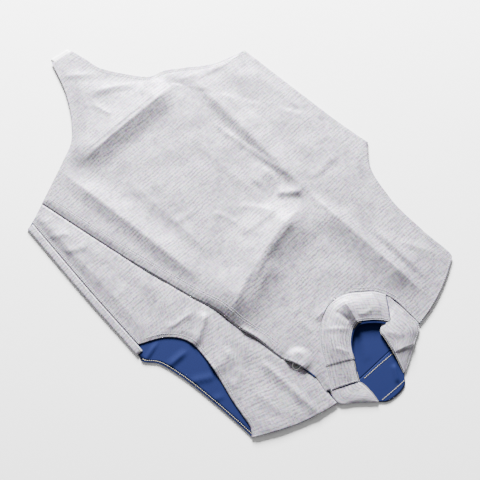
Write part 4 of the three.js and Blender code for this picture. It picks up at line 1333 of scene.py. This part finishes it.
def size_choice(name, description, default):
    """A length in metres that the user can change."""
    return bpy.props.FloatProperty(
        name=name, description=description, default=default, min=0, unit="LENGTH", precision=5
    )


class LameSizes(bpy.types.PropertyGroup):
    """Sizes and colours of the lame that a user would change."""

    cloth_light: colour_choice("Cloth, light", "The bright threads of the metal cloth", "#a4a0a9")
    cloth_dark: colour_choice("Cloth, dark", "The grey between its ribs", "#6a6672")
    lining: colour_choice("Lining", "The lining's cotton", "#0f1c4a")
    lining_shade: colour_choice("Lining, shade", "The dark of the lining's grain", "#0a153b")
    floor: colour_choice("Floor", "The surface that the jacket lies on", "#fafafa")
    cloth_shell: size_choice("Cloth thickness", "Thickness of the metal cloth", 0.0008)
    lining_shell: size_choice("Lining thickness", "Thickness of the lining", 0.0006)
    rib_pitch: size_choice("Rib spacing", "Distance between the cloth's drawn ribs", 0.0054)
    stitch_pitch: size_choice("Stitch spacing", "Distance from one stitch to the next", 0.0034)
    thread_width: size_choice("Thread width", "Width of the sewing thread", 0.0009)


def cloth_of(kind):
    """Thickness in mm, material and slot of a kind of cloth."""
    sizes = bpy.context.scene.lame
    thickness, material, slot = {
        "silver": (sizes.cloth_shell / MM, "metal_thread_cloth", "metal_cloth"),
        "blue": (sizes.lining_shell / MM, "blue_cotton", "blue_lining"),
        "tape": (TAPE_SHELL, "white_zip_tape", "zip_tape"),
        "elastic": (TAPE, "white_elastic", "strap_elastic"),
    }[kind]
    return thickness, material_of(material), slot


class LAME_OT_front(bpy.types.Operator):
    """Front of the jacket in one piece with its flap, shoulder and right side fold, and its sewing"""

    bl_idname = "lame.front"
    bl_label = "Front"

    def execute(self, context):
        cloth = front_patches()
        y = np.arange(*FLAP_SEWING_RUN, MEDIUM)
        armhole = np.concatenate([ends_of(FRONT_CHEST, -1), ends_of(FRONT_SHOULDER, -1)[1:]])
        neck = ends_of(FRONT_SHOULDER, 1, FINE)[SEWING_STARTS["neck"]:]
        share = np.linspace(*SHOULDER_RUN)
        top = {name: values[-1] for name, values in FRONT_SHOULDER.items()}
        shoulder = np.stack([
            mix(top["rx"], top["lx"], share),
            shoulder_arc(mix(top["ry"], top["ly"], share), share, 0.0),
        ], axis=1)
        lines = [
            inside_line(ends_of(FRONT_LEGS, -1), HEM_SEWING),
            inside_line(ends_of(FRONT_LEGS, 1), -HEM_SEWING),
            inside_line(armhole, HEM_SEWING),
            inside_line(shoulder, SEAM_SEWING),
            inside_line(neck, -SEAM_SEWING),
            inside_line(neck, -3 * SEAM_SEWING),
            inside_line(ends_of(COLLAR_FRONT, -1), -SEAM_SEWING),
        ]
        lines += [np.stack(flap_points(y, inset), axis=1) for inset in FLAP_SEWING]
        sewing = sew("front_sewing", lines, cloth)
        body, chest, neck_end = cloth[1][0], cloth[2][0], cloth[4][0]
        edge = np.concatenate([body[:, -1], chest[1:, -1], neck_end[1:, -1]])
        roll = edging("flap_roll", [edge + FLAP_ROLL["place"]], FLAP_ROLL["radius"])
        lay_cloth("front_cloth", cloth, [sewing, roll])
        return {"FINISHED"}


class LAME_OT_left_front(bpy.types.Operator):
    """Left front, between the zip and the left side seam, with its sewing"""

    bl_idname = "lame.left_front"
    bl_label = "Left front"

    def execute(self, context):
        cloth = left_patches()
        hem = np.linspace(*LEFT_HEM)
        side = ends_of(LEFT_BODY, 1)
        lines = [
            inside_line(ends_of(LEFT_CHEST, 1)[SEWING_STARTS["armhole"]:], -HEM_SEWING),
            inside_line(hem, -HEM_SEWING),
            inside_line(side, -SEAM_SEWING),
            inside_line(side, -2 * SEAM_SEWING),
        ]
        lay_cloth("left_front_cloth", cloth, [sew("left_front_sewing", lines, cloth)])
        return {"FINISHED"}


class LAME_OT_back(bpy.types.Operator):
    """Back panel and its blue lining, with the bound edge of the left armhole"""

    bl_idname = "lame.back"
    bl_label = "Back and lining"

    def execute(self, context):
        cloth = back_patches()
        turned = inside_line(ends_of(BACK_BODY, 1), -(WRAP - SEAM_SEWING))
        lay_cloth("back_cloth", cloth, [sew("back_sewing", [turned], cloth)])
        lining = lining_patches()
        edge = ends_of(BACK_CHEST, 1)[SEWING_STARTS["armhole"]:]
        lines = [inside_line(edge, -BLUE_SEWING - LINING_INSET)]
        sewing = sew("armhole_sewing", lines, lining, "cream_thread", BLUE_THREAD)
        plan = inside_line(edge, -ARMHOLE_EDGE["inset"])
        bound = np.column_stack([plan, np.full(len(edge), LINING_Z)])
        binding = edging("armhole_binding", [bound], ARMHOLE_EDGE["radius"], "blue_cotton", "blue_lining")
        lay_cloth("back_lining_cloth", lining, [sewing, binding])
        return {"FINISHED"}


class LAME_OT_opening(bpy.types.Operator):
    """Zip tape with its teeth, and the blue facing under the flap"""

    bl_idname = "lame.opening"
    bl_label = "Zip tape and facing"

    def execute(self, context):
        points, faces = zip_teeth()
        teeth = mesh_object("zip_teeth", (points - CENTRE) * MM, faces.tolist())
        finish_piece(teeth, material_of("nickel_plated_zinc"))
        tape = flap_strip(TAPE_INSET, LAYER_SETBACK["tape"], TAPE_RISE, TAPE_STRIP, 0.0)
        lay_cloth("zip_tape_cloth", tape, [teeth])
        facing = flap_strip(
            FACING_INSET, LAYER_SETBACK["facing"], FACING_RISE, FACING_STRIP, FACING_BUMP_SHARE
        )
        x, y = flap_points(FACING_END["places"], -FACING_END["out"])
        end = np.column_stack([x, y, left_height(x, y) + FACING_RISE])
        shown = edging("facing_end", [end], FACING_END["radius"], "blue_cotton", "blue_lining")
        lay_cloth("flap_facing_cloth", facing, [shown])
        return {"FINISHED"}


class LAME_OT_collar(bpy.types.Operator):
    """Stand collar: front, right, left and back parts, with their blue inner side, bound rims and sewing"""

    bl_idname = "lame.collar"
    bl_label = "Collar"

    def execute(self, context):
        front = collar_patch(COLLAR_FRONT, "front", folds=COLLAR_CREASES, tab=True)
        right = collar_patch(COLLAR_RIGHT, "right", folds=RIGHT_COLLAR_CREASES)
        left = collar_patch(COLLAR_LEFT, "left")
        back = collar_patch(COLLAR_BACK, "back")
        lining = collar_patch(COLLAR_BACK, "lining", COLLAR_LINING_LIFT, COLLAR_LINING_SPAN, BLUE_FOLDS)
        inner = collar_patch(COLLAR_FRONT_LINING, "inner")
        grid = front[0][0]
        # The blue piping along the rim and round the front's ends is partly the lining's edge and partly
        # painted shade: a dark tube in the shade under the rim and in the gap at the front's right end
        ends = [grid[row, first:] + place for row, first, place in PIPING_AND_SHADE_ENDS]
        piping_and_shade_lines, radius = rim_tubes("collar_piping_and_shade_line", grid, ends)
        bound = edging("collar_binding", *rim_tubes("collar_binding", grid))
        cord = edging("collar_cord", *rim_tubes("collar_cord", grid), "cream_thread")
        piping_and_shade_tube = edging("collar_piping_and_shade_line", piping_and_shade_lines, radius, "blue_cotton", "blue_lining")
        lines = [grid[:, -3, :2], grid[:, 2, :2], grid[2, 3:-3, :2], grid[-3, 3:-3, :2]]
        sewing = sew("collar_sewing", lines, front)
        joint = grid[:, 0] - NECK_SEAM["before"] * (grid[:, 1] - grid[:, 0]) - [0, 0, NECK_SEAM["drop"]]
        seam = edging("neck_seam", [joint], NECK_SEAM["radius"])
        lay_cloth("collar_front_cloth", front, [sewing, bound, piping_and_shade_tube, seam, cord])
        grid = right[0][0][SEWING_STARTS["collar"]:]
        sewing = sew("collar_right_sewing", [grid[:, -2, :2], grid[:, 1, :2]], right)
        lay_cloth("collar_right_cloth", right, [sewing])
        lay_cloth("collar_left_cloth", left, [sew("collar_left_sewing", [left[0][0][:, -2, :2]], left)])
        lay_cloth("collar_back_cloth", back)
        seams = [np.array(line) for line in NECK_SEAMS]
        sewing = sew("neck_sewing", seams, lining, "cream_thread", BLUE_THREAD)
        lay_cloth("collar_back_lining_cloth", lining, [sewing])
        lay_cloth("collar_front_lining_cloth", inner)
        return {"FINISHED"}


class LAME_OT_strap(bpy.types.Operator):
    """End of the elastic strap at the crotch point"""

    bl_idname = "lame.strap"
    bl_label = "Crotch strap"

    def execute(self, context):
        lay_cloth("crotch_strap_elastic", strap_patch())
        return {"FINISHED"}


class LAME_OT_zip_pull(bpy.types.Operator):
    """Zip slider with its lug, and the wire ring that hangs in it"""

    bl_idname = "lame.zip_pull"
    bl_label = "Zip pull"

    def execute(self, context):
        points, faces, first = [], [], 0
        for part, sides in slider_parts():
            points.append(part)
            faces += [[first + number for number in face] for face in sides]
            first += len(part)
        slider = mesh_object("slider_body", to_pull(np.concatenate(points)), faces)
        edges = slider.modifiers.new("worn edges", "BEVEL")
        edges.width = SLIDER["worn"] * MM
        edges.segments = 2
        finish_piece(slider, material_of("nickel_plated_zinc"), ["zip_slider"])
        place, _ = pull_frame()
        drop = place[2] - RING["wire"] / 2 - (FRONT_Z + CLOTH / 2 + GAP)
        tilt = math.asin(drop / (RING["reach"] - RING["wire"]))
        points, faces = round_tube(ring_path(), RING["wire"] / 2, RING["sides"], True)
        ring = mesh_object("ring_wire", to_pull(points, tilt), faces.tolist())
        finish_piece(ring, material_of("white_coated_wire"), ["zip_ring"], RING_BODY)
        return {"FINISHED"}


def area_light(name, place, target, size, energy):
    """A square soft light that faces its target."""
    data = bpy.data.lights.new(name, "AREA")
    data.energy = energy
    data.size = size
    light = bpy.data.objects.new(name, data)
    light.location = place
    aim(light, target)
    bpy.context.scene.collection.objects.link(light)


def aim(thing, target):
    """Turns a light or camera to face a point, with its own up towards the head of the picture."""
    back = np.array(thing.location) - np.array(target)
    thing.rotation_mode = "QUATERNION"
    thing.rotation_quaternion = (-Vector(back)).to_track_quat("-Z", "Y")


class LAME_OT_stage(bpy.types.Operator):
    """Pale floor, soft studio light and the camera"""

    bl_idname = "lame.stage"
    bl_label = "Stage"

    def execute(self, context):
        half = FLOOR_SIZE / 2
        corners = np.array([[-half, -half, 0], [half, -half, 0], [half, half, 0], [-half, half, 0]])
        floor = mesh_object("floor", corners, [[0, 1, 2, 3]])
        colour = tuple(context.scene.lame.floor)
        floor.data.materials.append(plain_finish("pale_floor", colour, colour, *FLOOR_FINISH))
        world = bpy.data.worlds.new("studio")
        world.use_nodes = True
        world.node_tree.nodes["Background"].inputs["Color"].default_value = (1, 1, 1, 1)
        world.node_tree.nodes["Background"].inputs["Strength"].default_value = WORLD_LIGHT
        context.scene.world = world
        area_light("key", KEY_LIGHT["place"], (0, 0, 0), KEY_LIGHT["size"], KEY_LIGHT["energy"])
        camera = bpy.data.objects.new("camera", bpy.data.cameras.new("camera"))
        camera.data.lens = CAMERA["lens"]
        camera.data.sensor_width = CAMERA["sensor"]
        a, e = math.radians(CAMERA["azimuth"]), math.radians(CAMERA["elevation"])
        back = np.array([math.sin(a) * math.cos(e), -math.cos(a) * math.cos(e), math.sin(e)])
        camera.location = np.array(CAMERA["target"]) + back * CAMERA["distance"]
        aim(camera, CAMERA["target"])
        context.scene.collection.objects.link(camera)
        context.scene.camera = camera
        return {"FINISHED"}


OPERATORS = (
    LAME_OT_stage,
    LAME_OT_front,
    LAME_OT_left_front,
    LAME_OT_back,
    LAME_OT_opening,
    LAME_OT_collar,
    LAME_OT_strap,
    LAME_OT_zip_pull,
)


class LAME_PT_panel(bpy.types.Panel):
    """Lists the pieces of the lame"""

    bl_idname = "LAME_PT_panel"
    bl_label = "Fencing Lame"
    bl_space_type = "VIEW_3D"
    bl_region_type = "UI"
    bl_category = "Lame"

    def draw(self, context):
        for operator in OPERATORS:
            self.layout.operator(operator.bl_idname)
        for name in LameSizes.__annotations__:
            self.layout.prop(context.scene.lame, name)


CLASSES = (LameSizes, *OPERATORS, LAME_PT_panel)


def register():
    """Adds the sizes, operators and panel."""
    for one in CLASSES:
        bpy.utils.register_class(one)
    bpy.types.Scene.lame = bpy.props.PointerProperty(type=LameSizes)


def unregister():
    """Takes them away again."""
    del bpy.types.Scene.lame
    for one in reversed(CLASSES):
        bpy.utils.unregister_class(one)


def main():
    """Makes every piece in order."""
    register()
    for operator in OPERATORS:
        group, name = operator.bl_idname.split(".")
        getattr(getattr(bpy.ops, group), name)()


if __name__ == "__main__":
    main()
